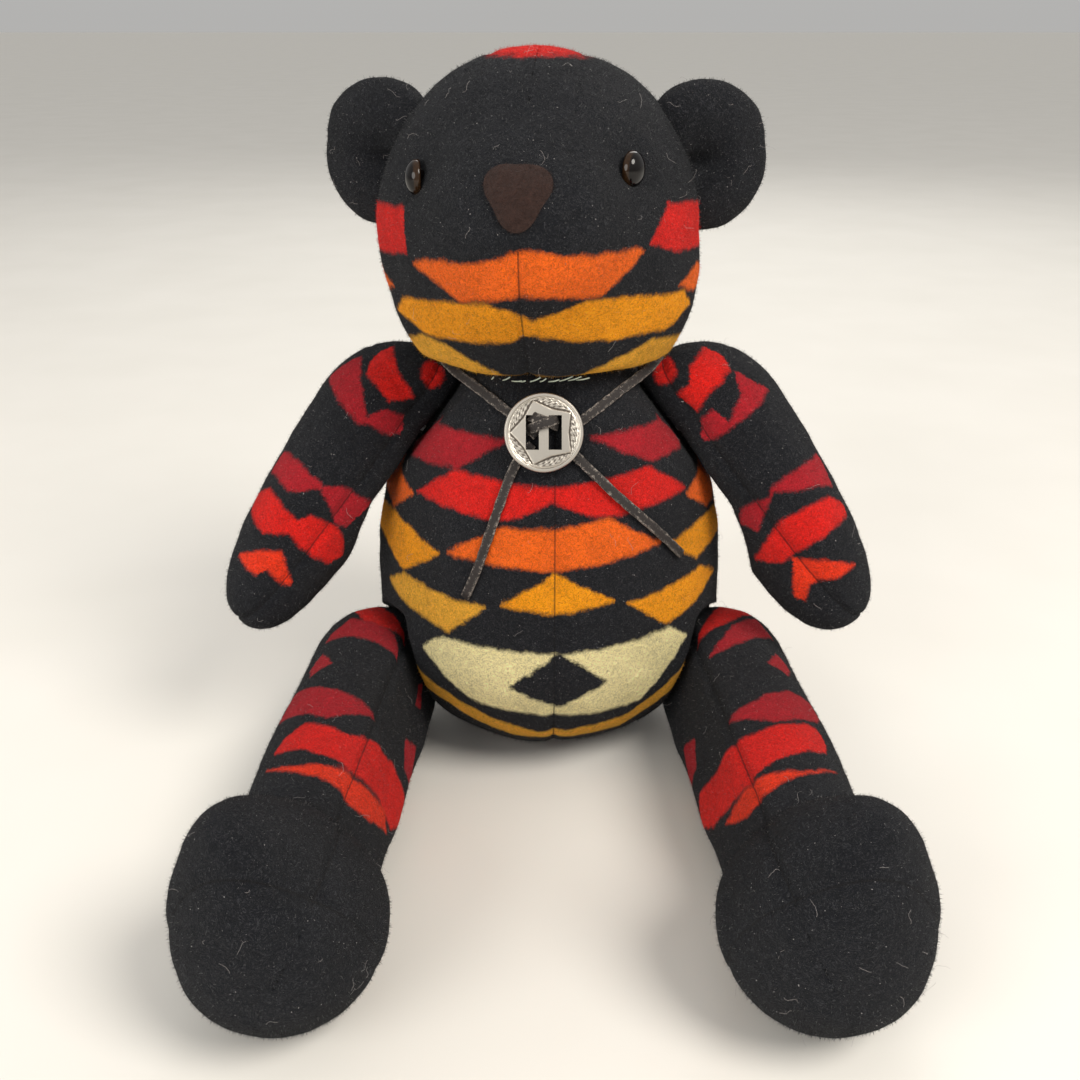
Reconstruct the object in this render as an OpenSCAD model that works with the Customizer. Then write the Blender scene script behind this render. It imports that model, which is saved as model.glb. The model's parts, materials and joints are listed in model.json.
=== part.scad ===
// A jointed teddy bear sewn from patterned wool blanket cloth, sitting down, with a
// leather lace and a slotted silver disc at its neck. Millimetres, +Z up.
// The bear faces -Y and its own left side is at +X. The origin is in the middle of the
// flat bottom it sits on, on the body's axis. The head and every limb turn on a pair of
// hardboard discs held together by a cotter pin, and each joint frame has +Z along it.

/* [Body] */
// Greatest radius of the body
body_r = 65; // [62:0.5:68]
// Height of the widest part of the body above the seat
body_waist_z = 54; // [53:0.5:55]
// Height of the flat top of the body, where the head sits
neck_z = 152; // [150:0.5:154]
// Thickness of the blanket cloth
cloth_t = 2; // [1.5:0.1:2.4]

/* [Head] */
// Greatest radius of the head
head_r = 53; // [51:0.5:54]
// Distance of the head's middle in front of the body's axis
head_forward = 14; // [12:0.5:16]
// Height of the widest part of the head
head_mid_z = 194; // [192:0.5:196]
// Height of the crown
crown_z = 249; // [246:0.5:252]
// Radius of the snout
snout_r = 34; // [32:0.5:36]
// Angle by which the head is turned towards the bear's right side
head_turn = 6; // [0:1:15]
// Radius of an ear
ear_r = 23.5; // [22:0.5:24]
// Radius of an eye
eye_r = 5.25; // [4.5:0.25:6]

/* [Arms] */
// Radius of an arm at the shoulder
arm_r = 21.5; // [20:0.5:22]
// Distance from the shoulder pin to the tip of the paw
arm_reach = 93; // [88:1:96]
// Angle between the shoulder pin and the level
shoulder_rise = 38; // [36:1:40]
// Forward swing of the left arm
left_arm_swing = 20; // [10:1:30]
// Forward swing of the right arm
right_arm_swing = 25; // [10:1:30]

/* [Legs] */
// Radius of a leg at the thigh
leg_r = 26; // [24:0.5:26.5]
// Distance from the hip pin to the middle of the foot
leg_reach = 142; // [138:1:144]
// Outward splay of a leg
leg_splay = 5; // [4:1:7]
// Angle between the hip pin and the level
hip_drop = 12; // [10:1:14]
// Radius of a foot
foot_r = 30.5; // [30:0.5:32]
// Half the height of a foot, from heel to toe
foot_half = 38; // [36:0.5:39]

/* [Neck ornament] */
// Diameter of the silver disc
concho_d = 25.4; // [24:0.2:26]
// Width of the leather lace
lace_w = 3.2; // [3:0.1:3.4]
// Thickness of the leather lace
lace_t = 1.2; // [1:0.1:1.4]

/* [Hidden] */
$fn = 72;

LEFT = 1;
RIGHT = -1;
BLACK = [0.11, 0.11, 0.13];
CRIMSON = [0.6, 0.1, 0.16];
RED = [0.8, 0.1, 0.08];
AMBER = [0.9, 0.58, 0.06];
STUFFING = [0.93, 0.92, 0.88];
HARDBOARD = [0.5, 0.36, 0.22];
STEEL = [0.7, 0.71, 0.73];
SILVER = [0.8, 0.78, 0.74];
LEATHER = [0.17, 0.15, 0.14];
NOSE_BROWN = [0.2, 0.12, 0.1];
EYE_BROWN = [0.1, 0.04, 0.02];

// Half the gap between the two cloths that turn on each other at a joint
half_gap = 0.15;
// Size of a block that reaches past everything, and the steps in half an outline
big = 300;
steps = 8;

// Joint hardware, measured along the pin from the joint plane
disc_t = 2.4;
washer_t = 0.8;
washer_r = 7;
pin_r = 1.2;
pin_clear = 0.05;
cloth_hole_r = 1.5;
ring_r = 1.9;
ring_wire = 0.8;
disc_from = half_gap + cloth_t;
washer_from = disc_from + disc_t;
ring_at = washer_from + washer_t + ring_wire + pin_clear;
hardware_end = ring_at + ring_wire + 0.4;
neck_disc_r = 16;
arm_disc_r = 13;
leg_disc_r = 11;

// Body: two half ellipses that meet at the waist and are cut level at the seat and neck
body_low = 58;
body_high = 128.4;

// Head and neck
head_low = 63;
head_bottom_z = neck_z + 2 * half_gap;
neck_x = -4;
neck_forward = 12;
snout_forward = 45;
snout_z = 196;
gusset_half = 15;
gusset_front_z = 210;
crown_seam_forward = 18;

// Ears, as lenses set into the sides of the head
ear_x = 52.5;
ear_back = 10;
ear_z = 215;
ear_half_t = 9.5;
ear_turn = 20;

// Eyes, with their shanks and lock washers
eye_z = 216;
eye_turn = 41;
eye_sink = 0.8;
eye_dome = 4.2;
eye_collar = 0.8;
eye_shank_r = 2.2;
eye_shank = 10;
eye_washer_r = 5.5;
eye_washer_t = 1;
eye_washer_from = 5;

// Nose patch: a rounded triangle that points down, laid on the snout
nose_rise = 24;
nose_r = 9.6;
nose_wave = 1.1;
nose_t = 1.2;

// Arms and legs: the axis of each stands off the joint plane, so the cloth is flat there
arm_stand = 15.5;
arm_back = 21.5;
arm_power = 2.6;
shoulder = [46, -8, 122];
leg_stand = 19;
leg_back = 25;
leg_front = 146;
leg_power = 4;
leg_back_power = 2;
hip = [46.5, -22, 31];
// How much nearer to the middle the foot is than the leg
foot_in = 4.5;
leg_swing = 89;
foot_lift = 13;
foot_lean = 12;
sole_from = 10;
sole_lean = 20;
// The body leaves room for a leg to swing up by this angle, and down by 90 less this
leg_up = 30;
leg_room = 0.5;
// The stuffing of a leg stops this far short of the cloth
stuffing_ease = 0.15;

// Silver disc: a plate with a rim, a five-pointed panel and two slots with a bridge
concho_at = [-2.3, -52.8, 135];
concho_rise = 21;
concho_t = 1.3;
rim_t = 1.9;
rim_w = 1.3;
star_t = 1.6;
star_out = 0.84;
star_in = 0.64;
slot_w = 4.2;
slot_h = 11;
bridge_w = 3.1;

// The lace from behind the disc round the bear's left side to the middle of its back,
// as [place, the way its flat side faces]; the right side mirrors it.
lace_half = [
  [[4.5, -51.7, 133.5], [0.1, -1, 0.4]],
  [[9.5, -49.4, 137.5], [0.2, -1, 0.4]],
  [[16, -45.8, 141.5], [0.35, -1, 0.5]],
  [[23, -40.5, 145.5], [0.5, -0.9, 0.5]],
  [[29.5, -33.9, 148.3], [0.6, -0.7, 0.6]],
  [[35, -23, 149.6], [0.5, -0.3, 0.8]],
  [[38.5, -9, 149.8], [0.4, 0, 0.9]],
  [[38.5, 5, 149.9], [0.3, 0.1, 0.9]],
  [[36, 18, 151.6], [0.1, 0.1, 1]],
  [[24, 29.5, 152.9], [0, 0, 1]],
  [[12, 35, 152.9], [0, 0, 1]],
  [[0, 37, 152.9], [0, 0, 1]],
];
// The two free tails of the lace, from behind the disc to their cut ends
left_tail = [
  [5, -52.6, 131], [8.4, -53.6, 127], [13.5, -54.3, 122], [20, -54.3, 115.5],
  [26.5, -53.3, 109], [33, -51.2, 102.5], [39.3, -48.3, 95.5], [45, -44.6, 88.5],
];
right_tail = [
  [-6, -52.5, 131], [-10.5, -53.6, 126], [-13.5, -54.9, 120], [-16.5, -56.3, 112],
  [-19.3, -57.5, 104], [-22, -58.1, 96], [-24.8, -58.4, 88], [-28.7, -57.8, 78.5],
];

// ---- Outlines and frames ----

function unit(v) = v / norm(v);

// Half outline, cut level at z_lo and z_hi, of a form that is widest (r) at z_mid and
// whose lower and upper parts are quarter ellipses of heights low and high.
function egg(r, low, high, z_mid, z_lo, z_hi) =
  let (
    a0 = asin(max(-1, (z_lo - z_mid) / low)),
    a1 = asin(min(1, (z_hi - z_mid) / high)),
    arc = [
      for (i = [0:2 * steps])
        let (a = a0 + (a1 - a0) * i / (2 * steps))
          [r * cos(a), z_mid + (a < 0 ? low : high) * sin(a)]
    ]
  )
  concat([[0, z_lo]], [for (p = arc) if (p[0] > 0.5) p], [[0, z_hi]]);

// Half outline of a blunt lobe, widest (r) at 0, that ends at -back and at front. The
// higher a power, the squarer that end; at 2 it is a quarter ellipse.
function lobe(r, back, front, power, back_power) =
  let (e = 2 / power, eb = 2 / back_power, angles = [for (i = [1:steps - 1]) 90 * i / steps])
  concat(
    [[0, -back]],
    [for (a = angles) [r * pow(sin(a), eb), -back * pow(cos(a), eb)]],
    [[r, 0]],
    [for (a = angles) [r * pow(cos(a), e), front * pow(sin(a), e)]],
    [[0, front]]
  );

module above(z) {
  translate([-big / 2, -big / 2, z]) cube(big);
}

module below(z) {
  translate([-big / 2, -big / 2, z - big]) cube(big);
}

module on_side(side) {
  if (side == LEFT) children();
  else mirror([1, 0, 0]) children();
}

// Neck frame: the origin is on the neck joint's plane, with +Z along its pin
module at_neck() {
  translate([neck_x, -neck_forward, neck_z + half_gap]) children();
}

// Head frame: heights are from the seat, and Z is the head's own axis
module at_head() {
  at_neck()
    rotate([0, 0, -head_turn])
      translate([0, neck_forward - head_forward, -neck_z - half_gap])
        children();
}

// Arm frame: +Z along the shoulder pin away from the body, +X along the arm
module at_shoulder(side) {
  on_side(side)
    translate(shoulder)
      rotate([0, 90 - shoulder_rise, 0])
        rotate([0, 0, side == LEFT ? -left_arm_swing : -right_arm_swing])
          children();
}

// Leg frame: +Z along the hip pin away from the body, +X along the leg, -Y up
module at_hip(side) {
  on_side(side)
    translate(hip)
      rotate([0, 90 + hip_drop, leg_splay])
        rotate([0, 0, -leg_swing])
          children();
}

// Ear frame: +Z out of the front of the ear
module at_ear(side) {
  at_head()
    on_side(side)
      translate([ear_x, ear_back, ear_z])
        rotate([90, 0, ear_turn])
          children();
}

// Radius of the head where the back of an eye rests on it
eye_seat_r = head_r * sqrt(1 - pow((eye_z - head_mid_z) / (crown_z - head_mid_z), 2))
             - eye_sink;

// Eye frame: +Z out of the eye
module at_eye(side) {
  at_head()
    on_side(side)
      rotate([90, 0, eye_turn])
        translate([0, eye_z, eye_seat_r])
          children();
}

// Nose frame: the origin is the snout's middle, with +Z out through the nose
module at_nose() {
  at_head()
    translate([0, -(snout_forward - head_forward), snout_z])
      rotate([90 - nose_rise, 0, 0])
        children();
}

// Frame of the silver disc: +Z out of its face
module at_concho() {
  translate(concho_at) rotate([90 - concho_rise, 0, 0]) children();
}

// ---- Stuffed forms: inset 0 is the outside of the cloth, cloth_t is its inside ----

module shoulder_room(side, inset) {
  at_shoulder(side)
    translate([0, 0, -half_gap - inset])
      cylinder(h = big, r = 75 + inset);
}

module hip_room(side, inset) {
  half = leg_r + leg_room + inset;
  at_hip(side)
    rotate([0, 0, -leg_up])
      translate([0, 0, -half_gap - inset]) {
        cylinder(h = 100, r = half);
        translate([0, -half, 0]) cube([100, 130, 100]);
        translate([-half, 0, 0]) cube([100 + half, 130 - half, 100]);
      }
}

module body_form(inset) {
  difference() {
    rotate_extrude()
      polygon(egg(body_r - inset, body_low - inset, body_high - inset, body_waist_z,
                  inset, neck_z - inset));
    for (side = [LEFT, RIGHT]) {
      shoulder_room(side, inset);
      hip_room(side, inset);
    }
  }
}

module head_form(inset) {
  at_head()
    rotate_extrude()
      polygon(egg(head_r - inset, head_low - inset, crown_z - head_mid_z - inset,
                  head_mid_z, head_bottom_z + inset, crown_z - inset));
  at_nose() sphere(r = snout_r - inset);
}

module ear_form(inset) {
  lens_r = (ear_r * ear_r + ear_half_t * ear_half_t) / (2 * ear_half_t);
  intersection() {
    translate([0, 0, ear_half_t - lens_r]) sphere(r = lens_r - inset);
    translate([0, 0, lens_r - ear_half_t]) sphere(r = lens_r - inset);
  }
}

module arm_form(inset) {
  intersection() {
    translate([0, 0, arm_stand])
      rotate([0, 90, 0])
        rotate_extrude()
          polygon(lobe(arm_r - inset, arm_back - inset, arm_reach - inset, arm_power, arm_power));
    above(half_gap + inset);
  }
}

module leg_tube(inset) {
  intersection() {
    translate([0, 0, leg_stand])
      rotate([0, 90, 0])
        rotate_extrude()
          polygon(lobe(leg_r - inset, leg_back - inset, leg_front - inset,
                       leg_power, leg_back_power));
    above(half_gap + inset);
  }
}

module foot_ball(inset) {
  translate([leg_reach, -foot_lift, leg_stand - foot_in])
    rotate([90, 0, foot_lean])
      rotate_extrude()
        polygon(egg(foot_r - inset, foot_half - inset, foot_half - inset, 0,
                    inset - foot_half, foot_half - inset));
}

module leg_form(inset) {
  leg_tube(inset);
  foot_ball(inset);
}

// ---- Joint hardware, in a joint's own frame ----

module pin_hole(r) {
  translate([0, 0, -big / 2]) cylinder(h = big, r = r);
}

module disc(r) {
  difference() {
    translate([0, 0, disc_from]) cylinder(h = disc_t, r = r);
    pin_hole(pin_r + pin_clear);
  }
}

module washer() {
  difference() {
    translate([0, 0, washer_from]) cylinder(h = washer_t, r = washer_r);
    pin_hole(pin_r + pin_clear);
  }
}

module cotter_pin() {
  translate([0, 0, -ring_at]) cylinder(h = 2 * ring_at, r = pin_r);
  for (end = [-ring_at, ring_at])
    translate([0, 0, end])
      rotate_extrude()
        translate([ring_r, 0]) circle(r = ring_wire, $fn = 24);
}

// The space in the stuffing that a disc, its washer and the end of the pin take
module hardware_room(r) {
  cylinder(h = washer_from, r = r);
  cylinder(h = hardware_end, r = washer_r);
}

module flipped() {
  rotate([180, 0, 0]) children();
}

// ---- Body ----

module body_panel(side, front) {
  color(front ? BLACK : CRIMSON)
    difference() {
      intersection() {
        difference() {
          body_form(0);
          body_form(cloth_t);
        }
        translate([side == LEFT ? 0 : -big, front ? -big : 0, -1]) cube(big);
      }
      at_neck() pin_hole(cloth_hole_r);
      at_shoulder(side) pin_hole(cloth_hole_r);
      at_hip(side) pin_hole(cloth_hole_r);
    }
}

module body_stuffing() {
  color(STUFFING)
    difference() {
      body_form(cloth_t);
      at_neck() flipped() hardware_room(neck_disc_r);
      for (side = [LEFT, RIGHT]) {
        at_shoulder(side) flipped() hardware_room(arm_disc_r);
        at_hip(side) flipped() hardware_room(leg_disc_r);
      }
    }
}

module limb_body_washers() {
  color(STEEL)
    for (side = [LEFT, RIGHT]) {
      at_shoulder(side) flipped() washer();
      at_hip(side) flipped() washer();
    }
}

// ---- Head ----

module head_cloth() {
  difference() {
    head_form(0);
    head_form(cloth_t);
    at_neck() pin_hole(cloth_hole_r);
    for (side = [LEFT, RIGHT])
      at_eye(side) {
        cylinder(h = 2 * eye_dome, r = eye_r + pin_clear);
        translate([0, 0, -eye_shank]) cylinder(h = eye_shank, r = eye_shank_r + pin_clear);
      }
  }
}

// The strip between the two sides of the head, from over the nose to the nape
module gusset_room() {
  at_head() {
    translate([-gusset_half, -crown_seam_forward, 0]) cube([2 * gusset_half, big, big]);
    translate([-gusset_half, -big, gusset_front_z]) cube([2 * gusset_half, big, big]);
  }
}

module head_side(side) {
  color(side == LEFT ? RED : CRIMSON)
    difference() {
      head_cloth();
      gusset_room();
      at_head() translate([side == LEFT ? -big : 0, -big / 2, 0]) cube(big);
    }
}

module head_gusset() {
  color(BLACK)
    intersection() {
      head_cloth();
      gusset_room();
    }
}

module head_stuffing() {
  color(STUFFING)
    difference() {
      head_form(cloth_t);
      at_neck() hardware_room(neck_disc_r);
      for (side = [LEFT, RIGHT])
        at_eye(side)
          translate([0, 0, -eye_shank - 0.5])
            cylinder(h = eye_shank + 2, r = eye_washer_r + 0.5);
    }
}

module ear_cloth(side, front) {
  color(BLACK)
    difference() {
      at_ear(side)
        intersection() {
          difference() {
            ear_form(0);
            ear_form(cloth_t);
          }
          if (front) above(0);
          else below(0);
        }
      head_form(0);
    }
}

module ear_stuffing(side) {
  color(STUFFING)
    difference() {
      at_ear(side) ear_form(cloth_t);
      head_form(0);
    }
}

module nose_patch() {
  outline = [
    for (a = [0:10:350])
      (nose_r + nose_wave * cos(3 * (a + 90))) * [cos(a), sin(a)]
  ];
  color(NOSE_BROWN)
    at_nose()
      difference() {
        intersection() {
          linear_extrude(2 * snout_r) polygon(outline);
          sphere(r = snout_r + nose_t);
        }
        sphere(r = snout_r);
      }
}

module eye(side) {
  dome = [for (a = [0:10:80]) [eye_r * cos(a), eye_collar + (eye_dome - eye_collar) * sin(a)]];
  color(EYE_BROWN)
    at_eye(side) {
      rotate_extrude() polygon(concat([[0, 0], [eye_r, 0]], dome, [[0, eye_dome]]));
      translate([0, 0, -eye_shank]) cylinder(h = eye_shank + 0.5, r = eye_shank_r);
    }
}

module eye_lock_washers() {
  color(STEEL)
    for (side = [LEFT, RIGHT])
      at_eye(side)
        difference() {
          translate([0, 0, -eye_washer_from - eye_washer_t])
            cylinder(h = eye_washer_t, r = eye_washer_r);
          pin_hole(eye_shank_r + pin_clear);
        }
}

// ---- Arms ----

module arm_cloth(side, outer) {
  color(outer ? RED : CRIMSON)
    at_shoulder(side)
      difference() {
        intersection() {
          arm_form(0);
          if (outer) above(arm_stand);
          else below(arm_stand);
        }
        arm_form(cloth_t);
        pin_hole(cloth_hole_r);
      }
}

module arm_stuffing(side) {
  color(STUFFING)
    at_shoulder(side)
      difference() {
        arm_form(cloth_t);
        hardware_room(arm_disc_r);
      }
}

// ---- Legs ----

// Everything in front of the seam round the sole
module sole_room() {
  translate([leg_reach, -foot_lift, leg_stand - foot_in])
    rotate([0, 0, sole_lean])
      translate([sole_from, -big / 2, -big / 2])
        cube(big);
}

module leg_cloth(side, outer) {
  color(outer ? RED : CRIMSON)
    at_hip(side)
      difference() {
        intersection() {
          leg_form(0);
          if (outer) above(leg_stand);
          else below(leg_stand);
        }
        leg_form(cloth_t);
        sole_room();
        if (!outer) pin_hole(cloth_hole_r);
      }
}

module foot_sole(side) {
  color(BLACK)
    at_hip(side)
      difference() {
        intersection() {
          foot_ball(0);
          sole_room();
        }
        foot_ball(cloth_t);
      }
}

module leg_stuffing(side) {
  color(STUFFING)
    at_hip(side)
      difference() {
        leg_form(cloth_t + stuffing_ease);
        hardware_room(leg_disc_r);
      }
}

// ---- Neck ornament ----

module concho() {
  r = concho_d / 2;
  star = [
    for (i = [0:9])
      r * (i % 2 == 0 ? star_out : star_in) * [cos(180 + 36 * i), sin(180 + 36 * i)]
  ];
  color(SILVER)
    at_concho()
      difference() {
        union() {
          cylinder(h = concho_t, r = r);
          linear_extrude(star_t) polygon(star);
          difference() {
            cylinder(h = rim_t, r = r);
            translate([0, 0, -1]) cylinder(h = rim_t + 2, r = r - rim_w);
          }
        }
        for (side = [LEFT, RIGHT])
          translate([side * (bridge_w + slot_w) / 2 - slot_w / 2, -slot_h / 2, -1])
            cube([slot_w, slot_h, 2 * rim_t]);
      }
}

// Section of the lace: a flat strip with its corners taken off
lace_edge = lace_t / 4;
lace_section = [
  for (q = [[-1, -1], [1, -1], [1, 1], [-1, 1]], k = [0, 1])
    let (x_first = (q[0] * q[1] > 0) == (k == 0))
      [q[0] * (lace_w / 2 - (x_first ? 0 : lace_edge)),
       q[1] * (lace_t / 2 - (x_first ? lace_edge : 0))]
];

// One polyhedron that sweeps the section along a route of [place, facing]
module strip(route) {
  last = len(route) - 1;
  m = len(lace_section);
  points = [
    for (i = [0:last])
      let (
        along = unit(route[min(i + 1, last)][0] - route[max(i - 1, 0)][0]),
        across = unit(cross(along, route[i][1])),
        out = cross(across, along)
      )
      for (q = lace_section) route[i][0] + q[0] * across + q[1] * out
  ];
  sides = [
    for (i = [0:last - 1], j = [0:m - 1])
      let (a = i * m + j, b = i * m + (j + 1) % m)
        each [[a, b, b + m], [a, b + m, a + m]]
  ];
  ends = [[for (j = [m - 1:-1:0]) j], [for (j = [0:m - 1]) last * m + j]];
  polyhedron(points, concat(sides, ends));
}

function mirrored(p) = [[-p[0][0], p[0][1], p[0][2]], [-p[1][0], p[1][1], p[1][2]]];

// The lace round the neck, and where it crosses the bridge in front of the disc
module lace_neck_loop() {
  middle = len(lace_half) - 1;
  leg_x = bridge_w / 2 + 0.1;
  color(LEATHER) {
    strip(concat(lace_half, [for (i = [middle - 1:-1:0]) mirrored(lace_half[i])]));
    at_concho()
      difference() {
        translate([-leg_x - lace_t, -lace_w / 2, -0.2])
          cube([2 * (leg_x + lace_t), lace_w, star_t + lace_t + 0.3]);
        translate([-leg_x, -lace_w, -1]) cube([2 * leg_x, 2 * lace_w, star_t + 1.1]);
      }
  }
}

module lace_tail(route) {
  color(LEATHER) strip([for (p = route) [p, [p[0], p[1], 10]]]);
}

body_panel(LEFT, true);  // body_front_left
body_panel(RIGHT, true);  // body_front_right
body_panel(LEFT, false);  // body_back_left
body_panel(RIGHT, false);  // body_back_right
body_stuffing();
color(HARDBOARD) at_neck() flipped() disc(neck_disc_r);  // neck_disc_lower
color(STEEL) at_neck() flipped() washer();  // neck_washer_lower
color(HARDBOARD) at_shoulder(LEFT) flipped() disc(arm_disc_r);  // left_shoulder_body_disc
color(HARDBOARD) at_shoulder(RIGHT) flipped() disc(arm_disc_r);  // right_shoulder_body_disc
color(HARDBOARD) at_hip(LEFT) flipped() disc(leg_disc_r);  // left_hip_body_disc
color(HARDBOARD) at_hip(RIGHT) flipped() disc(leg_disc_r);  // right_hip_body_disc
limb_body_washers();
lace_neck_loop();
concho();
lace_tail(left_tail);  // lace_tail_left
lace_tail(right_tail);  // lace_tail_right

head_side(LEFT);  // head_left_side
head_side(RIGHT);  // head_right_side
head_gusset();
head_stuffing();
ear_cloth(LEFT, true);  // left_ear_front
ear_cloth(LEFT, false);  // left_ear_back
ear_stuffing(LEFT);  // left_ear_stuffing
ear_cloth(RIGHT, true);  // right_ear_front
ear_cloth(RIGHT, false);  // right_ear_back
ear_stuffing(RIGHT);  // right_ear_stuffing
nose_patch();
eye(LEFT);  // left_eye
eye(RIGHT);  // right_eye
eye_lock_washers();
color(HARDBOARD) at_neck() disc(neck_disc_r);  // neck_disc_upper
color(STEEL) at_neck() washer();  // neck_washer_upper
color(STEEL) at_neck() cotter_pin();  // neck_cotter_pin

arm_cloth(LEFT, true);  // left_arm_outer
arm_cloth(LEFT, false);  // left_arm_inner
arm_stuffing(LEFT);  // left_arm_stuffing
color(HARDBOARD) at_shoulder(LEFT) disc(arm_disc_r);  // left_arm_disc
color(STEEL) at_shoulder(LEFT) washer();  // left_arm_washer
color(STEEL) at_shoulder(LEFT) cotter_pin();  // left_arm_cotter_pin
arm_cloth(RIGHT, true);  // right_arm_outer
arm_cloth(RIGHT, false);  // right_arm_inner
arm_stuffing(RIGHT);  // right_arm_stuffing
color(HARDBOARD) at_shoulder(RIGHT) disc(arm_disc_r);  // right_arm_disc
color(STEEL) at_shoulder(RIGHT) washer();  // right_arm_washer
color(STEEL) at_shoulder(RIGHT) cotter_pin();  // right_arm_cotter_pin

leg_cloth(LEFT, true);  // left_leg_outer
leg_cloth(LEFT, false);  // left_leg_inner
foot_sole(LEFT);  // left_foot_sole
leg_stuffing(LEFT);  // left_leg_stuffing
color(HARDBOARD) at_hip(LEFT) disc(leg_disc_r);  // left_leg_disc
color(STEEL) at_hip(LEFT) washer();  // left_leg_washer
color(STEEL) at_hip(LEFT) cotter_pin();  // left_leg_cotter_pin
leg_cloth(RIGHT, true);  // right_leg_outer
leg_cloth(RIGHT, false);  // right_leg_inner
foot_sole(RIGHT);  // right_foot_sole
leg_stuffing(RIGHT);  // right_leg_stuffing
color(HARDBOARD) at_hip(RIGHT) disc(leg_disc_r);  // right_leg_disc
color(STEEL) at_hip(RIGHT) washer();  // right_leg_washer
color(STEEL) at_hip(RIGHT) cotter_pin();  // right_leg_cotter_pin
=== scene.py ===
"""A sitting teddy bear sewn from patterned wool blanket cloth, with a leather lace and a
slotted silver disc at its neck. Shapes are worked out in millimetres and made in metres."""
import json
import math

import bmesh
import bpy
import numpy as np
from mathutils import Matrix, Vector

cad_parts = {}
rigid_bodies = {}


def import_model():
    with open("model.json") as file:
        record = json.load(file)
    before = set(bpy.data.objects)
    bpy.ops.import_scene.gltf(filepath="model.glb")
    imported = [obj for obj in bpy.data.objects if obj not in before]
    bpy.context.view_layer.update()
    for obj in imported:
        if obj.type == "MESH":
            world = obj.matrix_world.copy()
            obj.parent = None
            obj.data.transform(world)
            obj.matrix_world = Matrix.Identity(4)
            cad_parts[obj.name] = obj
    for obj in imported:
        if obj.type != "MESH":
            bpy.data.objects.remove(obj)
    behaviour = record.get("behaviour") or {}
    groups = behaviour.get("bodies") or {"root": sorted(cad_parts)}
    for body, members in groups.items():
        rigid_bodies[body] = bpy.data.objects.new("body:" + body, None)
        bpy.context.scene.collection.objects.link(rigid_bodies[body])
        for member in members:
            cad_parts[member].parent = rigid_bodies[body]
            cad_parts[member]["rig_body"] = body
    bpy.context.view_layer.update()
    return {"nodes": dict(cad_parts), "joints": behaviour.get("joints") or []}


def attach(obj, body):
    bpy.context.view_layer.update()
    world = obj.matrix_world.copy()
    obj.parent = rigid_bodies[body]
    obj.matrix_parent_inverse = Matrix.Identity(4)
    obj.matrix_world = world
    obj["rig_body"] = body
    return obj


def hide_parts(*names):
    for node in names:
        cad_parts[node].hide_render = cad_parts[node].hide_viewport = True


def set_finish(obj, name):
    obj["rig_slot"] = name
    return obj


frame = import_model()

MM = 0.001
SIDES = {"left": 1, "right": -1}
ROOT = "torso"


# ---- Places, from the frame ----

def joint_place(name):
    """Where a joint's pin is, in millimetres, and its axis as a unit vector."""
    joint = next(j for j in frame["joints"] if j["name"] == name)
    axis = np.array(joint["axis"])
    return np.array(joint["pos_m"]) / MM, axis / np.linalg.norm(axis)


NECK, _ = joint_place("neck_turn")
SHOULDER, SHOULDER_AXIS = joint_place("left_shoulder")
SHOULDER_OUT = -SHOULDER_AXIS
HIP, _ = joint_place("left_hip")

# Body: an egg cut level at the seat and the neck, with a round shoulder each side
BODY_R, BODY_LOW, BODY_HIGH, WAIST_Z, NECK_Z = 65, 58, 128.4, 54, 152
YOKE_X, YOKE_R = 40, 18

# Head: an egg and a round snout, turned a little on the neck, with one cheek fuller
HEAD_R, HEAD_LOW, HEAD_MID_Z, CROWN_Z = 53, 63, 194, 249
HEAD_TURN, HEAD_SHIFT, CHEEK_FULLER = 6, 2, 0.11
SNOUT_R, SNOUT_FORWARD, SNOUT_Z = 34, 31, 196
EAR_AT, EAR_TURN, EAR_R, EAR_SWELL = (52.5, 10, 215), 20, 23.5, 9.6
EYE_TURN, EYE_SINK, EYE_R = 41, 1.5, 5.25
EYE_OUT = {"left": 28, "right": 36}
EYE_Z = {"left": 216, "right": 213}
NOSE_R, NOSE_TILT = 9.2, 62

# Arms and legs, along +X from their pins, with +Z out along the pin
ARM_R, ARM_BACK, ARM_REACH, ARM_STAND, ARM_POWER = 21.5, 21.5, 93, 15.5, 2.6
ARM_TUCK, ARM_TOP = 10, 5
ARM_SWING = {"left": 20, "right": 25}
ARM_BEND = {"left": 4, "right": 3}
ARM_FULLER = {"left": 0.3, "right": 0.06}
LEG_R, LEG_BACK, LEG_FRONT, LEG_STAND, LEG_POWER = 26, 25, 146, 19, 4
LEG_SPLAY, HIP_DROP, LEG_SWING, LEG_UP, LEG_ROOM = 5, 12, 89, 30, 26.5
FOOT_AT, FOOT_R, FOOT_HALF, FOOT_LEAN, FOOT_TAPER = (142, -13, 14.5), 30.5, 38, 12, 0.23
SOLE_FROM, SOLE_LEAN = 10, 20
ARM_SEAMS, LEG_SEAMS = (110, -80), (128, -60)
JOINT_GAP = 0.3

# Cloth: no seam draws it in further than SEAM_DEEPEST. The distance from a seam is stored
# up to SEAM_FAR, and pale nap fibres store one past PALE_FROM instead.
SEAM_DEEPEST, SEAM_FAR, PALE_FROM = 1.3, 12, 16
UNEVEN, WADDING_INSET = 0.45, 4

# Lace and silver disc
LACE_W, LACE_T = 3.2, 1.2
CONCHO_AT, CONCHO_RISE, CONCHO_R = (-2.3, -52.8, 135), 21, 12.7
SLOT_W, SLOT_H, BRIDGE_W = 4.2, 11, 3.1
STAR_OUT, STAR_IN, RIM_R, CURLS_R = 0.86, 0.64, 11.45, 9.8


# ---- Small tools ----

def moved(x, y, z):
    m = np.eye(4)
    m[:3, 3] = (x, y, z)
    return m


def turned(axis, degrees):
    return np.array(Matrix.Rotation(math.radians(degrees), 4, axis))


def mirrored(side):
    return np.diag([float(side), 1, 1, 1])


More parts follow.
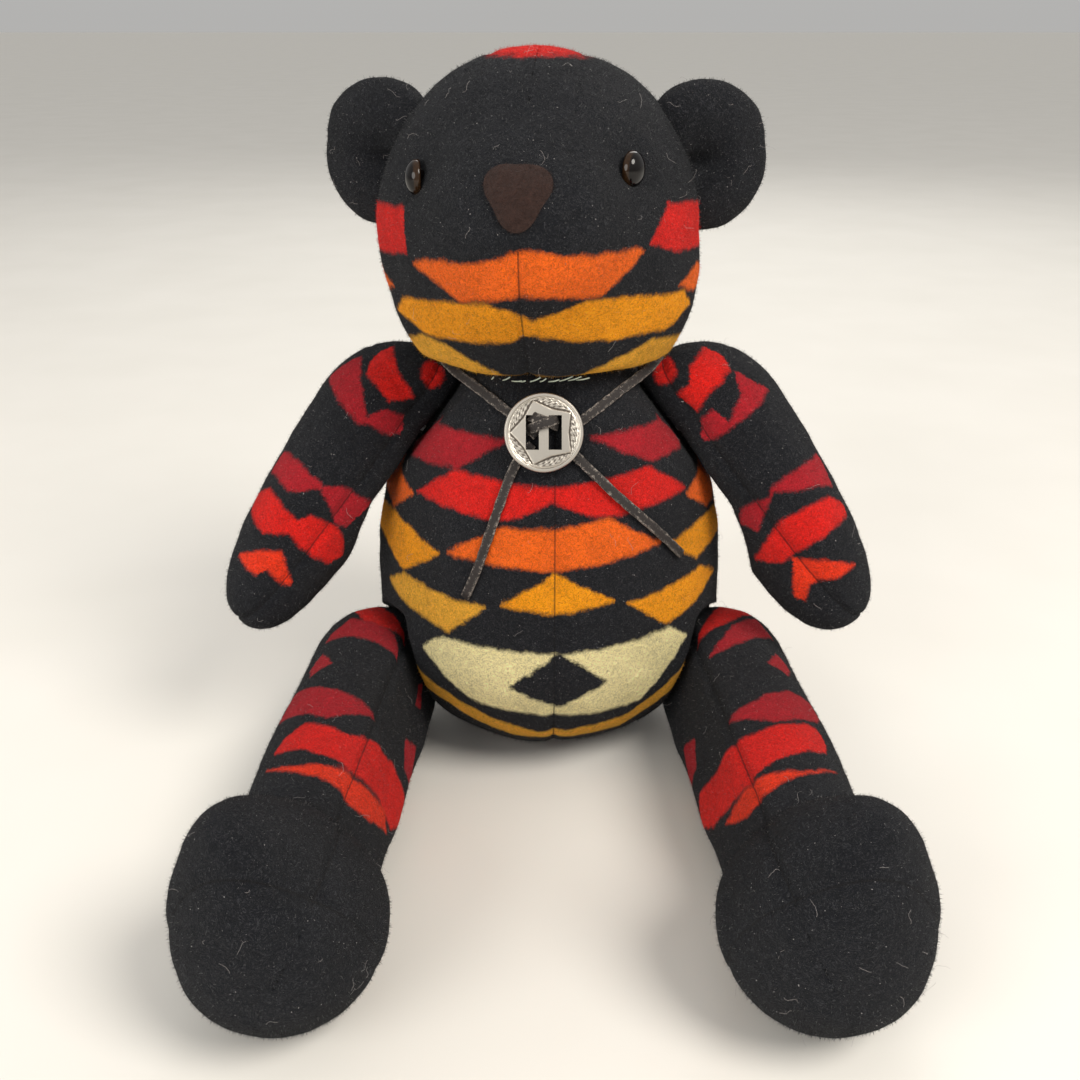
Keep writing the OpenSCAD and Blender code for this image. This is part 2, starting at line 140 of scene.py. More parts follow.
def place(matrix, points):
    """Points of any array shape (..., 3) carried by a 4x4 matrix."""
    return points @ matrix[:3, :3].T + matrix[:3, 3]


def unit(vectors):
    return vectors / np.linalg.norm(vectors, axis=-1, keepdims=True)


def circle(count):
    """The angles of points spread evenly round a circle."""
    return np.linspace(0, math.tau, count, endpoint=False)


def polar(r, turn, height):
    """Points at a radius, an angle and a height about the Z axis."""
    return np.stack([r * np.cos(turn), r * np.sin(turn), height + 0 * r * turn], -1)


def stack(*columns):
    """Coordinates, or numbers that are the same for all points, as one array of points."""
    return np.stack([c + 0 * columns[0] for c in columns], -1)


def smax(a, b, blend):
    """The larger of two fields, with the corner between them rounded."""
    h = np.maximum(blend - np.abs(a - b), 0) / blend
    return np.maximum(a, b) + h * h * blend / 4


def smin(a, b, blend):
    """The smaller of two fields, with the corner between them rounded."""
    return -smax(-a, -b, blend)


def bump(distance, width):
    return np.exp(-(distance / width) ** 2)


def lumps(points, size, seed):
    """Gentle unevenness about 1 high, in lumps about size millimetres across."""
    rng = np.random.default_rng(seed)
    total = 0
    for _ in range(10):
        way = rng.normal(size=3)
        way *= math.tau / size * rng.uniform(0.5, 1.3) / np.linalg.norm(way)
        total = total + np.sin(points @ way + rng.uniform(0, math.tau))
    return total / 3.2


def linear(rgb):
    """An sRGB colour out of 255 as the linear RGBA that a shader takes."""
    out = []
    for c in rgb:
        c /= 255
        out.append(c / 12.92 if c <= 0.04045 else ((c + 0.055) / 1.055) ** 2.4)
    return (*out, 1.0)


def add(name, data):
    obj = bpy.data.objects.new(name, data)
    bpy.context.scene.collection.objects.link(obj)
    return obj


def new_object(name, points, faces, body, material, attributes=None):
    """A mesh piece from millimetre points, with its faces turned outwards."""
    mesh = bpy.data.meshes.new(name)
    mesh.from_pydata((np.asarray(points) * MM).tolist(), [], faces)
    for key, values in (attributes or {}).items():
        layer = mesh.attributes.new(key, "FLOAT_VECTOR", "POINT")
        layer.data.foreach_set("vector", np.asarray(values, np.float32).ravel())
    bm = bmesh.new()
    bm.from_mesh(mesh)
    bmesh.ops.recalc_face_normals(bm, faces=bm.faces)
    bm.to_mesh(mesh)
    bm.free()
    mesh.polygons.foreach_set("use_smooth", [True] * len(mesh.polygons))
    mesh.materials.append(material)
    obj = add(name, mesh)
    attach(obj, body)
    return obj


def ring_faces(n, m):
    """Faces of a closed tube of n rings of m points, with a pole point after each end."""
    faces = []
    for i in range(n - 1):
        for j in range(m):
            k = (j + 1) % m
            faces.append((i * m + j, i * m + k, (i + 1) * m + k, (i + 1) * m + j))
    first, last = n * m, n * m + 1
    for j in range(m):
        k = (j + 1) % m
        faces.append((first, k, j))
        faces.append((last, (n - 1) * m + j, (n - 1) * m + k))
    return faces


def capped(rings):
    """Ring points (n, m, 3) as one list, with a pole point in the middle of each end."""
    return np.vstack([rings.reshape(-1, 3), rings[0].mean(0), rings[-1].mean(0)])


def ring_object(name, rings, *rest):
    return new_object(name, capped(rings), ring_faces(*rings.shape[:2]), *rest)


def read(items, key, kind=float):
    """A three-part value of every item of a mesh, as the rows of an array."""
    values = np.zeros(len(items) * 3, kind)
    items.foreach_get(key, values)
    return values.reshape(-1, 3)


def bisected(field, centre, ways, reach):
    """Where rays from centre along ways leave the form whose field is negative inside."""
    near, far = np.zeros(ways.shape[:-1]), np.full(ways.shape[:-1], float(reach))
    for _ in range(26):
        mid = (near + far) / 2
        inside = field(centre + ways * mid[..., None]) < 0
        near, far = np.where(inside, mid, near), np.where(inside, far, mid)
    return centre + ways * ((near + far) / 2)[..., None]


def sphere_ways(across, down):
    """Directions in rings from -Z to +Z, with the first and last just off the poles."""
    tilt = np.linspace(-90 + 60 / down, 90 - 60 / down, down)[:, None] * math.pi / 180
    turn = circle(across)[None, :]
    return stack(np.cos(tilt) * np.sin(turn), -np.cos(tilt) * np.cos(turn), np.sin(tilt))


# ---- Camera, at the photograph's viewing angle ----

CAMERA_AT, CAMERA_TILT = (-3.5, -412, 257.3), 66
CAMERA_LENS, CAMERA_SENSOR = 39.333, 36


def make_camera():
    data = bpy.data.cameras.new("camera")
    data.lens, data.sensor_width = CAMERA_LENS, CAMERA_SENSOR
    camera = add("camera", data)
    camera.location = Vector(CAMERA_AT) * MM
    camera.rotation_euler = (math.radians(CAMERA_TILT), 0, 0)
    bpy.context.scene.camera = camera


make_camera()


# ---- Shader network tools ----

class Signal:
    """A number or vector in a node tree that can be used in sums."""

    def __init__(self, net, socket):
        self.net, self.socket = net, socket

    def __add__(self, other):
        return self.net.math("ADD", self, other)

    def __sub__(self, other):
        return self.net.math("SUBTRACT", self, other)

    def __rsub__(self, other):
        return self.net.math("SUBTRACT", other, self)

    def __mul__(self, other):
        return self.net.math("MULTIPLY", self, other)

    __radd__, __rmul__ = __add__, __mul__


class Net:
    """One material's node tree."""

    def __init__(self, name, **constants):
        self.material = bpy.data.materials.new(name)
        self.material.use_nodes = True
        self.nodes = self.material.node_tree.nodes
        self.shader = self.nodes["Principled BSDF"]
        for key, value in constants.items():
            self.shader.inputs[key.replace("_", " ")].default_value = value

    def node(self, kind, **settings):
        made = self.nodes.new("ShaderNode" + kind)
        for key, value in settings.items():
            setattr(made, key, value)
        return made

    def link(self, value, socket):
        """Feeds a socket with a signal, a number, or a colour in sRGB out of 255."""
        if isinstance(value, Signal):
            self.material.node_tree.links.new(value.socket, socket)
        else:
            socket.default_value = linear(value) if isinstance(value, tuple) else value

    def math(self, operation, *values):
        made = self.node("Math", operation=operation)
        for value, socket in zip(values, made.inputs):
            self.link(value, socket)
        return Signal(self, made.outputs[0])

    def step(self, value, low, high):
        """0 below low and 1 above high, smooth between."""
        made = self.node("MapRange", interpolation_type="SMOOTHSTEP")
        for item, socket in zip((value, low, high, 0.0, 1.0), made.inputs):
            self.link(item, socket)
        return Signal(self, made.outputs[0])

    def mix(self, share, first, second):
        made = self.node("Mix", data_type="RGBA")
        self.link(share, made.inputs[0])
        self.link(first, made.inputs[6])
        self.link(second, made.inputs[7])
        return Signal(self, made.outputs[2])

    def parts(self, kind, value):
        """The three parts of a vector (XYZ) or a colour (Color)."""
        split = self.node("Separate" + kind)
        self.link(value, split.inputs[0])
        return [Signal(self, s) for s in split.outputs]

    def stored(self, key):
        """The three parts of a vector that is stored on the mesh."""
        made = self.node("Attribute", attribute_name=key)
        return self.parts("XYZ", Signal(self, made.outputs["Vector"]))

    def noise(self, size_mm, detail=2.0, rough=0.5, colour=False, distortion=0.0):
        """Noise from 0 to 1, in grains of about size_mm."""
        made = self.node("TexNoise")
        place = Signal(self, self.node("TexCoord").outputs["Object"])
        for key, value in (("Vector", place), ("Distortion", distortion),
                           ("Scale", 1 / (size_mm * MM)), ("Detail", detail), ("Roughness", rough)):
            self.link(value, made.inputs[key])
        return Signal(self, made.outputs["Color" if colour else "Fac"])

    def curve(self, value, points, lowest, highest):
        """A jointed line through points, for values from lowest to highest."""
        levels = [p[1] for p in points]
        base, span = min(levels) - 1, max(levels) - min(levels) + 2
        made = self.node("FloatCurve")
        line = made.mapping.curves[0]
        ends = [(lowest, points[0][1]), *points, (highest, points[-1][1])]
        ends = [p for i, p in enumerate(ends) if i == 0 or p[0] > ends[i - 1][0]]
        while len(line.points) < len(ends):
            line.points.new(0.5, 0.5)
        for spot, (at, level) in zip(line.points, ends):
            spot.location = ((at - lowest) / (highest - lowest), (level - base) / span)
            spot.handle_type = "VECTOR"
        made.mapping.update()
        self.link((value - lowest) * (1 / (highest - lowest)), made.inputs["Value"])
        return Signal(self, made.outputs[0]) * span + base

    def finish(self, colour, height, strength, distance_mm, roughness=None):
        self.link(colour, self.shader.inputs["Base Color"])
        relief = self.node("Bump")
        relief.inputs["Strength"].default_value = strength
        relief.inputs["Distance"].default_value = distance_mm * MM
        self.link(height, relief.inputs["Height"])
        self.link(Signal(self, relief.outputs[0]), self.shader.inputs["Normal"])
        if roughness is not None:
            self.link(roughness, self.shader.inputs["Roughness"])
        return self.material


# ---- Blanket cloth ----

BLACK = (11, 14, 21)
CRIMSON = (176, 20, 34)
RED = (224, 22, 10)
RED_ORANGE = (236, 52, 10)
ORANGE = (248, 106, 14)
AMBER = (254, 162, 2)
GOLD = (240, 174, 50)
CREAM = (252, 238, 178)

# The woven figures. Each row is a colour and its figures, from side to side. A figure is
# its first corner, the points of its lower edge, those of its upper edge and its last
# corner, as (u, v). A corner with two heights is cut off straight. On the body and head u
# is the angle in degrees round from the front and v the height in millimetres; on a limb u
# is the angle round it from the outside over the front, and v the distance from its pin.
BODY_ROWS = [
    (CRIMSON, ((-80, 117), [(-34, 120.5)], [(-56, 132)], (-16, 131.5)),
     ((14, 132.5), [(38, 122)], [(52, 133.5)], (63, 123))),
    (RED, ((-52, 108.5), [(-18, 106), (-12, 107), (0, 112.5), (14, 107.5), (20, 107)],
      [(-35, 120), (0, 117), (37, 120.5)], (54, 109))),
    (ORANGE, ((-90, 101, 112), [(-66, 98)], [(-66, 112)], (-53, 107)),
     ((-35, 92), [(1.5, 90)], [(-16, 104), (0, 104), (19, 106.5)], (38, 94.5)),
     ((53, 107), [(66, 98)], [(66, 112)], (90, 101, 112))),
    (AMBER, ((-90, 86, 93), [(-72, 84), (-54, 79)], [(-64, 97.5)], (-37, 91)),
     ((-15.5, 77), [(1.5, 75)], [(1.5, 89.5)], (20, 78)),
     ((42, 93), [(56, 82.5), (75, 86)], [(68, 96)], (90, 88, 94))),
    (GOLD, ((-67, 70), [(-33, 63.5)], [(-54, 78)], (-20, 75.5))),
    (AMBER, ((24, 76.5), [(39, 64)], [(58, 79)], (70, 72))),
    (CREAM, ((-44, 54), [(-27, 37), (1.5, 32.5), (32, 34)], [(-35, 61), (1.5, 60), (41, 62.5)],
      (49, 56))),
    (BLACK, ((-13, 46.5), [(2, 37)], [(3, 61)], (18, 47.5))),
    (GOLD, ((-70, 38), [(-50, 31), (-24, 22), (-8, 17), (30, 19), (52, 33)],
      [(-50, 42), (-24, 30.5), (-4, 22), (30, 28), (52, 43)], (70, 39))),
]
HEAD_ROWS = [
    (RED, ((-90, 246.7, 260), [], [], (90, 246.7, 260))),
    (RED, ((-90, 187, 202), [(-56, 189)], [(-44, 204.5)], (-39, 192)),
     ((45, 195), [(60, 191)], [(56, 205.5)], (90, 189, 203))),
    (ORANGE, ((-90, 177, 181), [(-76, 174)], [(-76, 182)], (-60, 178)),
     ((-37, 189), [(-17, 180.5), (3.5, 183), (25, 181.5)],
      [(-30, 191), (-11, 192.5), (3, 197), (14, 195), (38, 194.5)], (43, 193)),
     ((62, 180), [(78, 176)], [(78, 185)], (90, 178, 182))),
    (AMBER, ((-64, 170), [(-44, 164.5), (-8, 166.5), (5, 169.5), (26, 166), (48, 166.5), (61, 166)],
      [(-50, 176), (-22, 179), (-8, 180.5), (5, 174.5), (21, 180.5), (68, 177.5)], (76, 172))),
    (GOLD, ((-80, 157), [(-60, 148)], [(-48, 163.5), (-33, 163)], (-9, 148, 153)),
     ((23, 148, 153), [(75, 148)], [(55, 163.5), (78, 161)], (90, 158))),
]
ARM_ROWS = {"left": [
    (RED, ((46, -11), [(50, -17), (86, -14), (94, -9)], [(52, -5), (87, -2), (105, 0)], (112, -9))),
    (CRIMSON, ((31, 8), [(50, -4), (62, 4), (85, 9.5), (91, 3), (106, 3)],
      [(45, 10), (79, 11.5), (109, 11)], (116, 8))),
    (CRIMSON, ((12, 40), [(15, 36), (88, 36), (97, 38), (126, 36)],
      [(23, 48), (67, 42), (90, 37.5), (126, 46)], (140, 40))),
    (RED, ((20, 56), [(41, 50), (80, 48), (102, 47), (125, 50)],
      [(24, 59), (80, 60), (112, 59), (125, 60)], (150, 54))),
    (RED_ORANGE, ((50, 75), [(85, 68), (116, 60), (124, 65)], [(85, 75), (118, 71), (136, 75)],
      (142, 72))),
], "right": [
    (RED, ((44, -9), [(48, -16), (80, -8)], [(52, -2), (87, 2)], (107, -4))),
    (CRIMSON, ((9, 5), [(29, -7), (59, 3), (79, 11), (88, 5), (108, 3)],
      [(43, 11), (74, 14), (89, 12), (108, 11)], (114, 8))),
    (CRIMSON, ((4, 43), [(15, 35), (43, 36), (82, 38.5), (95, 35)],
      [(57, 46), (82, 39.5), (116, 46), (129, 45)], (136, 33))),
    (RED, ((1, 53), [(29, 49), (80, 53), (87, 49), (121, 47), (136, 49)],
      [(8, 59), (55, 63), (83, 58), (106, 60), (139, 59)], (150, 54))),
    (RED_ORANGE, ((27, 74), [(60, 69), (85, 64)], [(60, 76.5), (76, 76), (82, 72), (110, 74)],
      (120, 72))),
]}
LEG_ROWS = {"left": [
    (RED, ((61, -7), [(83, -14), (104, 0)], [(89, 6)], (128, 15))),
    (CRIMSON, ((51, 8), [(62, -2), (91, 10)], [(89, 21)], (119, 27))),
    (CRIMSON, ((50, 30), [(57, 21)], [(58, 37)], (74, 33)),
     ((191, 44), [(221, 35)], [(210, 54)], (230, 44, 52))),
    (CRIMSON, ((38, 52), [(43, 48), (67, 50), (98, 58)], [(50, 63), (67, 67), (90, 70)], (127, 63))),
    (RED, ((52, 76), [(54, 68), (81, 71), (109, 75), (152, 73), (218, 64)],
      [(58, 83), (80, 86), (108, 91), (129, 94), (166, 90), (218, 82)], (240, 70))),
    (BLACK, ((46, 86), [(73, 85), (98, 89)], [(86, 96)], (126, 94))),
    (RED_ORANGE, ((56, 91.5), [(86, 96), (138, 94)], [(84, 97), (115, 102), (141, 103)], (190, 91))),
], "right": [
    (RED, ((69, -8), [(84, -11), (109, -1)], [(89, 8)], (131, 11))),
    (CRIMSON, ((53, 11), [(72, 1), (116, 12)], [(85, 17)], (128, 24))),
    (CRIMSON, ((50, 30), [(57, 21)], [(57, 37)], (74, 33)),
     ((180, 12), [(191, 8)], [(191, 22)], (207, 18))),
    (CRIMSON, ((36, 52), [(42, 42), (85, 52)], [(42, 59), (89, 68)], (129, 60)),
     ((191, 44), [(221, 35)], [(210, 54)], (230, 44, 52))),
    (RED, ((55, 79), [(59, 77), (73, 70), (110, 75), (184, 61), (227, 61)],
      [(60, 86), (82, 85), (116, 91), (170, 84), (221, 81)], (240, 70))),
    (BLACK, ((48, 85), [(59, 83), (82, 85)], [(90, 92)], (120, 90))),
    (RED_ORANGE, ((54, 90), [(73, 93), (131, 91), (200, 81)], [(73, 95), (100, 98), (135, 102)],
      (216, 86))),
]}
# A small round of red near each shoulder, as (u, v, radius in v, degrees of u per mm)
ARM_SPOT = {"left": (109, -18, 4.5, 2.6), "right": (107, -15, 4.5, 2.6)}
# How far either side of its edge a figure's colour fades
EDGE_SOFT = 1.15
# Between two figures the row's edges cross, this far past the corners and so many degrees off
CLOSED, CLOSED_FROM = 9, 1.5


def jointed_edges(figures):
    """The lower and upper edges of a row's figures as two lines, crossed between them."""
    lines = [], []
    for first, below, above, last in figures:
        for line, points, height, past in zip(lines, (below, above), (1, -1), (CLOSED, -CLOSED)):
            if len(first) == 2:
                line.append((first[0] - CLOSED_FROM, first[1] + past))
            line += [(first[0], first[height]), *points, (last[0], last[height])]
            if len(last) == 2:
                line.append((last[0] + CLOSED_FROM, last[1] + past))
    return lines


def blanket(name, rows, span, degree_mm, spot=None):
    """Napped wool with rows of woven figures; span is the range of the angle u, and
    degree_mm the length of one degree of it."""
    net = Net(name, Roughness=0.95, Specular_IOR_Level=0.1, Sheen_Weight=0.05,
              Sheen_Roughness=0.6)
    u, v, seam = net.stored("weave")
    # The figures' edges wander, finely and broadly
    fine, broad = net.noise(0.8, 3, 0.7, colour=True), net.noise(4.5, 2, 0.5, colour=True)
    fine_u, fine_v = [(part - 0.5) * 3.0 for part in net.parts("Color", fine)[:2]]
    broad_u, broad_v = [(part - 0.5) * 2.6 for part in net.parts("Color", broad)[:2]]
    u = u + (fine_u + broad_u) * (1 / degree_mm)
    v = v + fine_v * 0.8 + broad_v
    colour = BLACK
    cloth = u * 0.0
    for tint, *figures in rows:
        low, high = jointed_edges(figures)
        below = v - net.curve(u, low, *span)
        above = net.curve(u, high, *span) - v
        share = net.step(net.math("MINIMUM", below, above), -EDGE_SOFT, EDGE_SOFT)
        colour = net.mix(share, colour, tint)
        lit = 0.0 if tint == BLACK else 1.0
        cloth = cloth * (1.0 - share) + share * lit
    if spot:
        su, sv, radius, turn = spot
        du, dv = (u - su) * (1 / turn), v - sv
        away = net.math("SQRT", du * du + dv * dv)
        share = net.step(radius - away, -EDGE_SOFT, EDGE_SOFT)
        colour = net.mix(share, colour, RED)
        cloth = net.math("MAXIMUM", cloth, share)
    fibre = net.noise(1.0, 4, 0.75, distortion=2.0)
    mottle = net.noise(2.4, 3, 0.65, distortion=1.0)
    patch = net.noise(14, 2, 0.5)
    # Curled fibres: thin contour lines of twisted noise that also raise the bump. Painted shade darkens
    # their low lines and the low fibre, mostly on the figures
    curls = net.math("PINGPONG", net.noise(3.4, 3, 0.6, distortion=2.2) * 12.0, 1.0)
    painted_shade = net.step(curls, 0.5, 0.1) * 0.22 + net.step(fibre, 0.5, 0.36) * 0.2
    colour = net.mix(painted_shade * (cloth * 0.9 + 0.1), colour, (30, 12, 12))
    # Painted sheen: the curls' raised tops and the high fibre drawn pale grey, mostly on black
    painted_sheen = net.step(curls, 0.55, 0.95) * net.step(fibre, 0.4, 0.62)
    colour = net.mix(painted_sheen * (0.23 - cloth * 0.15), colour, (118, 118, 122))
    bright = net.mix(0.35, colour, (190, 186, 184))
    colour = net.mix(net.step(seam, PALE_FROM, PALE_FROM + 2), colour, bright)
    lint = net.step(net.noise(0.7, 1, 0.4), 0.775, 0.80) * (0.7 - cloth * 0.5)
    colour = net.mix(lint, colour, (205, 200, 200))
    wash = net.node("HueSaturation")
    net.link(colour, wash.inputs["Color"])
    net.link((patch + mottle) * 0.4 + 0.66 + (fibre - 0.5) * (0.9 + cloth * 0.7), wash.inputs["Value"])
    line = net.math("ABSOLUTE", seam + (fibre - 0.5) * 0.8)
    sewn = net.mix(net.step(line, 0.42, 0.1) * 0.65, Signal(net, wash.outputs[0]), (9, 6, 8))
    height = fibre * 1.2 + mottle * 0.9 + curls * 0.12
    return net.finish(sewn, height, 1.0, 1.0)


CLOTH = {"body": blanket("blanket_body", BODY_ROWS, (-90, 90), 1.1),
         "head": blanket("blanket_head", HEAD_ROWS, (-90, 90), 0.9),
         "ear": blanket("blanket_black", [], (-90, 90), 1)}
for _side in SIDES:
    CLOTH[_side + "_arm"] = blanket("blanket_" + _side + "_arm", ARM_ROWS[_side], (0, 180), 0.38,
                                    ARM_SPOT[_side])
    CLOTH[_side + "_leg"] = blanket("blanket_" + _side + "_leg", LEG_ROWS[_side], (0, 270), 0.45)


# ---- Other materials ----

def leather():
    net = Net("leather_lace", Roughness=0.62, Specular_IOR_Level=0.35)
    edge, _, _ = net.stored("edge")
    grain = net.noise(0.5, 4, 0.7)
    colour = net.mix(grain, (14, 12, 12), (52, 46, 44))
    worn = net.step(edge * 0.25 + net.noise(0.9, 3, 0.75, distortion=1.0), 0.66, 0.86)
    colour = net.mix(worn, colour, (142, 134, 126))
    return net.finish(colour, grain + net.noise(1.6, 2) * 0.6, 0.9, 0.35)


def silver():
    net = Net("silver", Metallic=1.0)
    relief, _, _ = net.stored("relief")
    scratch = net.noise(0.8, 4, 0.6)
    stipple = net.noise(0.28, 1, 0.4)
    worn = net.step(relief + stipple * 0.25 + scratch * 0.15, 0.25, 0.75)
    colour = net.mix(worn, (58, 52, 48), (196, 190, 180))
    colour = net.mix(scratch * 0.35, colour, (168, 160, 150))
    rough = 0.52 - worn * 0.22 + scratch * 0.12
    return net.finish(colour, stipple * (1.0 - relief) + scratch * 0.15, 0.5, 0.12, rough)


def eye_plastic():
    net = Net("eye_plastic", Roughness=0.07, Specular_IOR_Level=0.25, Coat_Weight=0.1,
              Coat_Roughness=0.03)
    rim, _, _ = net.stored("rim")
    streak = net.noise(0.6, 2)
    iris = net.mix(streak, (22, 14, 8), (54, 36, 20))
    colour = net.mix(net.step(rim, 0.93, 0.99), (8, 5, 5), iris)
    return net.finish(colour, net.noise(6, 1), 0.04, 0.2)


def simple(name, dark, light, size_mm, strength, **constants):
    """A mottled two-colour material for the pieces that are shut inside."""
    net = Net(name, **constants)
    grain = net.noise(size_mm, 4, 0.65)
    colour = net.mix(grain, dark, light)
    return net.finish(colour, grain, strength, 0.4)


def felt():
    net = Net("nose_felt", Roughness=0.95, Specular_IOR_Level=0.1, Sheen_Weight=0.06,
              Sheen_Roughness=0.5)
    fibre, mottle = net.noise(1.0, 4, 0.75, distortion=2.0), net.noise(2.4, 3, 0.6)
    colour = net.mix(fibre * 0.6 + mottle * 0.4, (9, 6, 6), (78, 56, 50))
    return net.finish(colour, fibre + mottle, 1.0, 0.9)


LEATHER, SILVER, EYE, FELT = leather(), silver(), eye_plastic(), felt()
STUFFING = simple("stuffing", (206, 202, 192), (240, 238, 232), 3, 0.8, Roughness=0.95,
                  Sheen_Weight=0.3)
HARDBOARD = simple("hardboard", (92, 62, 36), (150, 110, 70), 1.2, 0.3, Roughness=0.8)
STEEL = simple("plated_steel", (150, 152, 156), (196, 198, 202), 0.8, 0.1, Metallic=1.0,
               Roughness=0.32)
THREAD = simple("thread", (120, 130, 118), (176, 184, 168), 0.5, 0.5, Roughness=0.8)
FIBRE = simple("loose_fibre", (120, 112, 112), (190, 182, 180), 2, 0.1, Roughness=0.8,
               Sheen_Weight=0.4)


# ---- Frames of the parts: the left side, or its mirror image ----

def head_frame():
    return moved(*NECK) @ turned("Z", -HEAD_TURN) @ moved(0, -HEAD_SHIFT, -NECK[2])


def arm_frame(side):
    rise = math.degrees(math.asin(SHOULDER_OUT[2]))
    return (mirrored(SIDES[side]) @ moved(*SHOULDER) @ turned("Y", 90 - rise)
            @ turned("Z", -ARM_SWING[side]))


def leg_frame(side, swing=LEG_SWING):
    return (mirrored(SIDES[side]) @ moved(*HIP) @ turned("Z", LEG_SPLAY)
            @ turned("Y", 90 + HIP_DROP) @ turned("Z", -swing))


def nose_frame():
    return head_frame() @ moved(0, -SNOUT_FORWARD, SNOUT_Z) @ turned("X", NOSE_TILT)


def ear_frame(side):
    return (head_frame() @ mirrored(SIDES[side]) @ moved(*EAR_AT) @ turned("Z", EAR_TURN)
            @ turned("X", 90))


def eye_frame(side):
    rise = (EYE_Z[side] - HEAD_MID_Z) / (CROWN_Z - HEAD_MID_Z)
    seat = HEAD_R * math.sqrt(1 - rise ** 2) - EYE_SINK
    return (head_frame() @ mirrored(SIDES[side]) @ turned("Z", EYE_TURN) @ turned("X", 90)
            @ moved(0, EYE_Z[side], seat) @ turned("Y", EYE_OUT[side]))


def concho_frame():
    return moved(*CONCHO_AT) @ turned("X", 90 - CONCHO_RISE)


# ---- Soft forms, each a field that is negative inside ----

def egg_field(p, r, low, high, mid_z):
    half = np.where(p[..., 2] < mid_z, low, high)
    return (np.sqrt((p[..., 0] ** 2 + p[..., 1] ** 2) / r ** 2
                    + ((p[..., 2] - mid_z) / half) ** 2) - 1) * r


def body_field(p):
    """The egg of the body, flattened by the arms and hollowed where it hugs the thighs."""
    f = egg_field(p, BODY_R, BODY_LOW, BODY_HIGH, WAIST_Z)
    for side in SIDES.values():
        f = smin(f, np.linalg.norm(p - (side * YOKE_X, 0, NECK_Z - 1.5 - YOKE_R), axis=-1) - YOKE_R, 8)
    f = smax(smax(f, p[..., 2] - NECK_Z, 2.5), -p[..., 2], 9)
    for side in SIDES.values():
        q = p * (side, 1, 1)
        f = smax(f, (q - SHOULDER) @ SHOULDER_OUT + JOINT_GAP, 2)
        at = place(np.linalg.inv(leg_frame("left", LEG_SWING + LEG_UP)), q)
        away = np.hypot(np.minimum(at[..., 0], 0), np.minimum(at[..., 1], 0))
        depth = LEG_ROOM - away
        hug = LEG_STAND - np.sqrt(np.clip(LEG_R ** 2 - np.clip(LEG_R - depth, 0, LEG_R) ** 2, 0, None))
        hug = np.where(depth < 0, LEG_STAND - 3 * depth, np.maximum(hug, 0))
        f = smax(f, at[..., 2] - hug + JOINT_GAP, 4)
    return f


def head_field(p):
    """The egg of the head with its round snout, in the head's own frame."""
    # The left cheek is fuller low down
    low = np.clip((HEAD_MID_Z - p[..., 2]) / 40, 0, 1) / (1 + np.exp(-p[..., 0] / 8))
    egg = p * stack(1 - CHEEK_FULLER * low, 1, 1)
    f = egg_field(egg, HEAD_R, HEAD_LOW, CROWN_Z - HEAD_MID_Z, HEAD_MID_Z)
    snout = np.linalg.norm(p - (0, -SNOUT_FORWARD, SNOUT_Z), axis=-1) - SNOUT_R
    f = smin(f, snout, 9)
    f = smax(f, NECK_Z + JOINT_GAP - p[..., 2], 3)
    for side in SIDES:
        eye = place(np.linalg.inv(head_frame()) @ eye_frame(side), np.zeros(3))
        f = f + 1.5 * bump(np.linalg.norm(p - eye, axis=-1), 8.5)
    return f


def leg_field(p):
    """The thigh and its foot, in the leg's own frame."""
    x = p[..., 0]
    across = np.hypot(p[..., 1], p[..., 2] - LEG_STAND) / LEG_R
    front = ((np.maximum(x, 0) / LEG_FRONT) ** LEG_POWER + across ** LEG_POWER) ** (1 / LEG_POWER)
    back = np.hypot(np.minimum(x, 0) / LEG_BACK, across)
    tube = (np.where(x > 0, front, back) - 1) * LEG_R
    tube = smax(tube, JOINT_GAP - p[..., 2], 4)
    lean = math.radians(FOOT_LEAN)
    q = p - FOOT_AT
    long_way = -q[..., 1] * math.cos(lean) + q[..., 0] * math.sin(lean)
    across_way = q[..., 1] * math.sin(lean) + q[..., 0] * math.cos(lean)
    slimmer = 1 - FOOT_TAPER * np.clip(long_way / FOOT_HALF + 0.25, 0, 1.25)
    foot = (np.sqrt((across_way ** 2 + q[..., 2] ** 2) / (FOOT_R * slimmer) ** 2
                    + (long_way / FOOT_HALF) ** 2) - 1) * FOOT_R
    return smin(tube, foot, 8)


def drawn_in(seams):
    """How far cloth is drawn in beside its seams, with small puckers along them. A seam
    is the signed distance from it, the distance along it and its depth."""
    total = 0
    for distance, along, depth in seams:
        pucker = 1 + 0.35 * np.sin(along * math.tau / 3.1) * bump(distance, 5)
        total = total + depth * (bump(distance, 1.3) * pucker + 0.5 * bump(distance, 4.5))
    return np.minimum(total, SEAM_DEEPEST)


def nearest_seam(seams):
    """The distance from the nearest seam, with a sign that changes only on a seam."""
    sign, least = 1, SEAM_FAR
    for distance, _, _ in seams:
        sign, least = sign * np.where(distance < 0, -1, 1), np.minimum(least, np.abs(distance))
    return sign * least


def only_where(condition, distance):
    """A seam's distance, grown so much outside a condition that no seam shows there."""
    return distance * np.where(condition, 1, 40) + np.where(condition, 0, 1e-3)


def upright_weave(p):
    """The angle about the Z axis, 0 in front and positive towards +X, with the back half a
    mirror image of the front, and the height."""
    angle = np.degrees(np.arctan2(p[:, 0], -p[:, 1]))
    return np.where(angle > 90, 180 - angle, np.where(angle < -90, -180 - angle, angle)), p[:, 2]


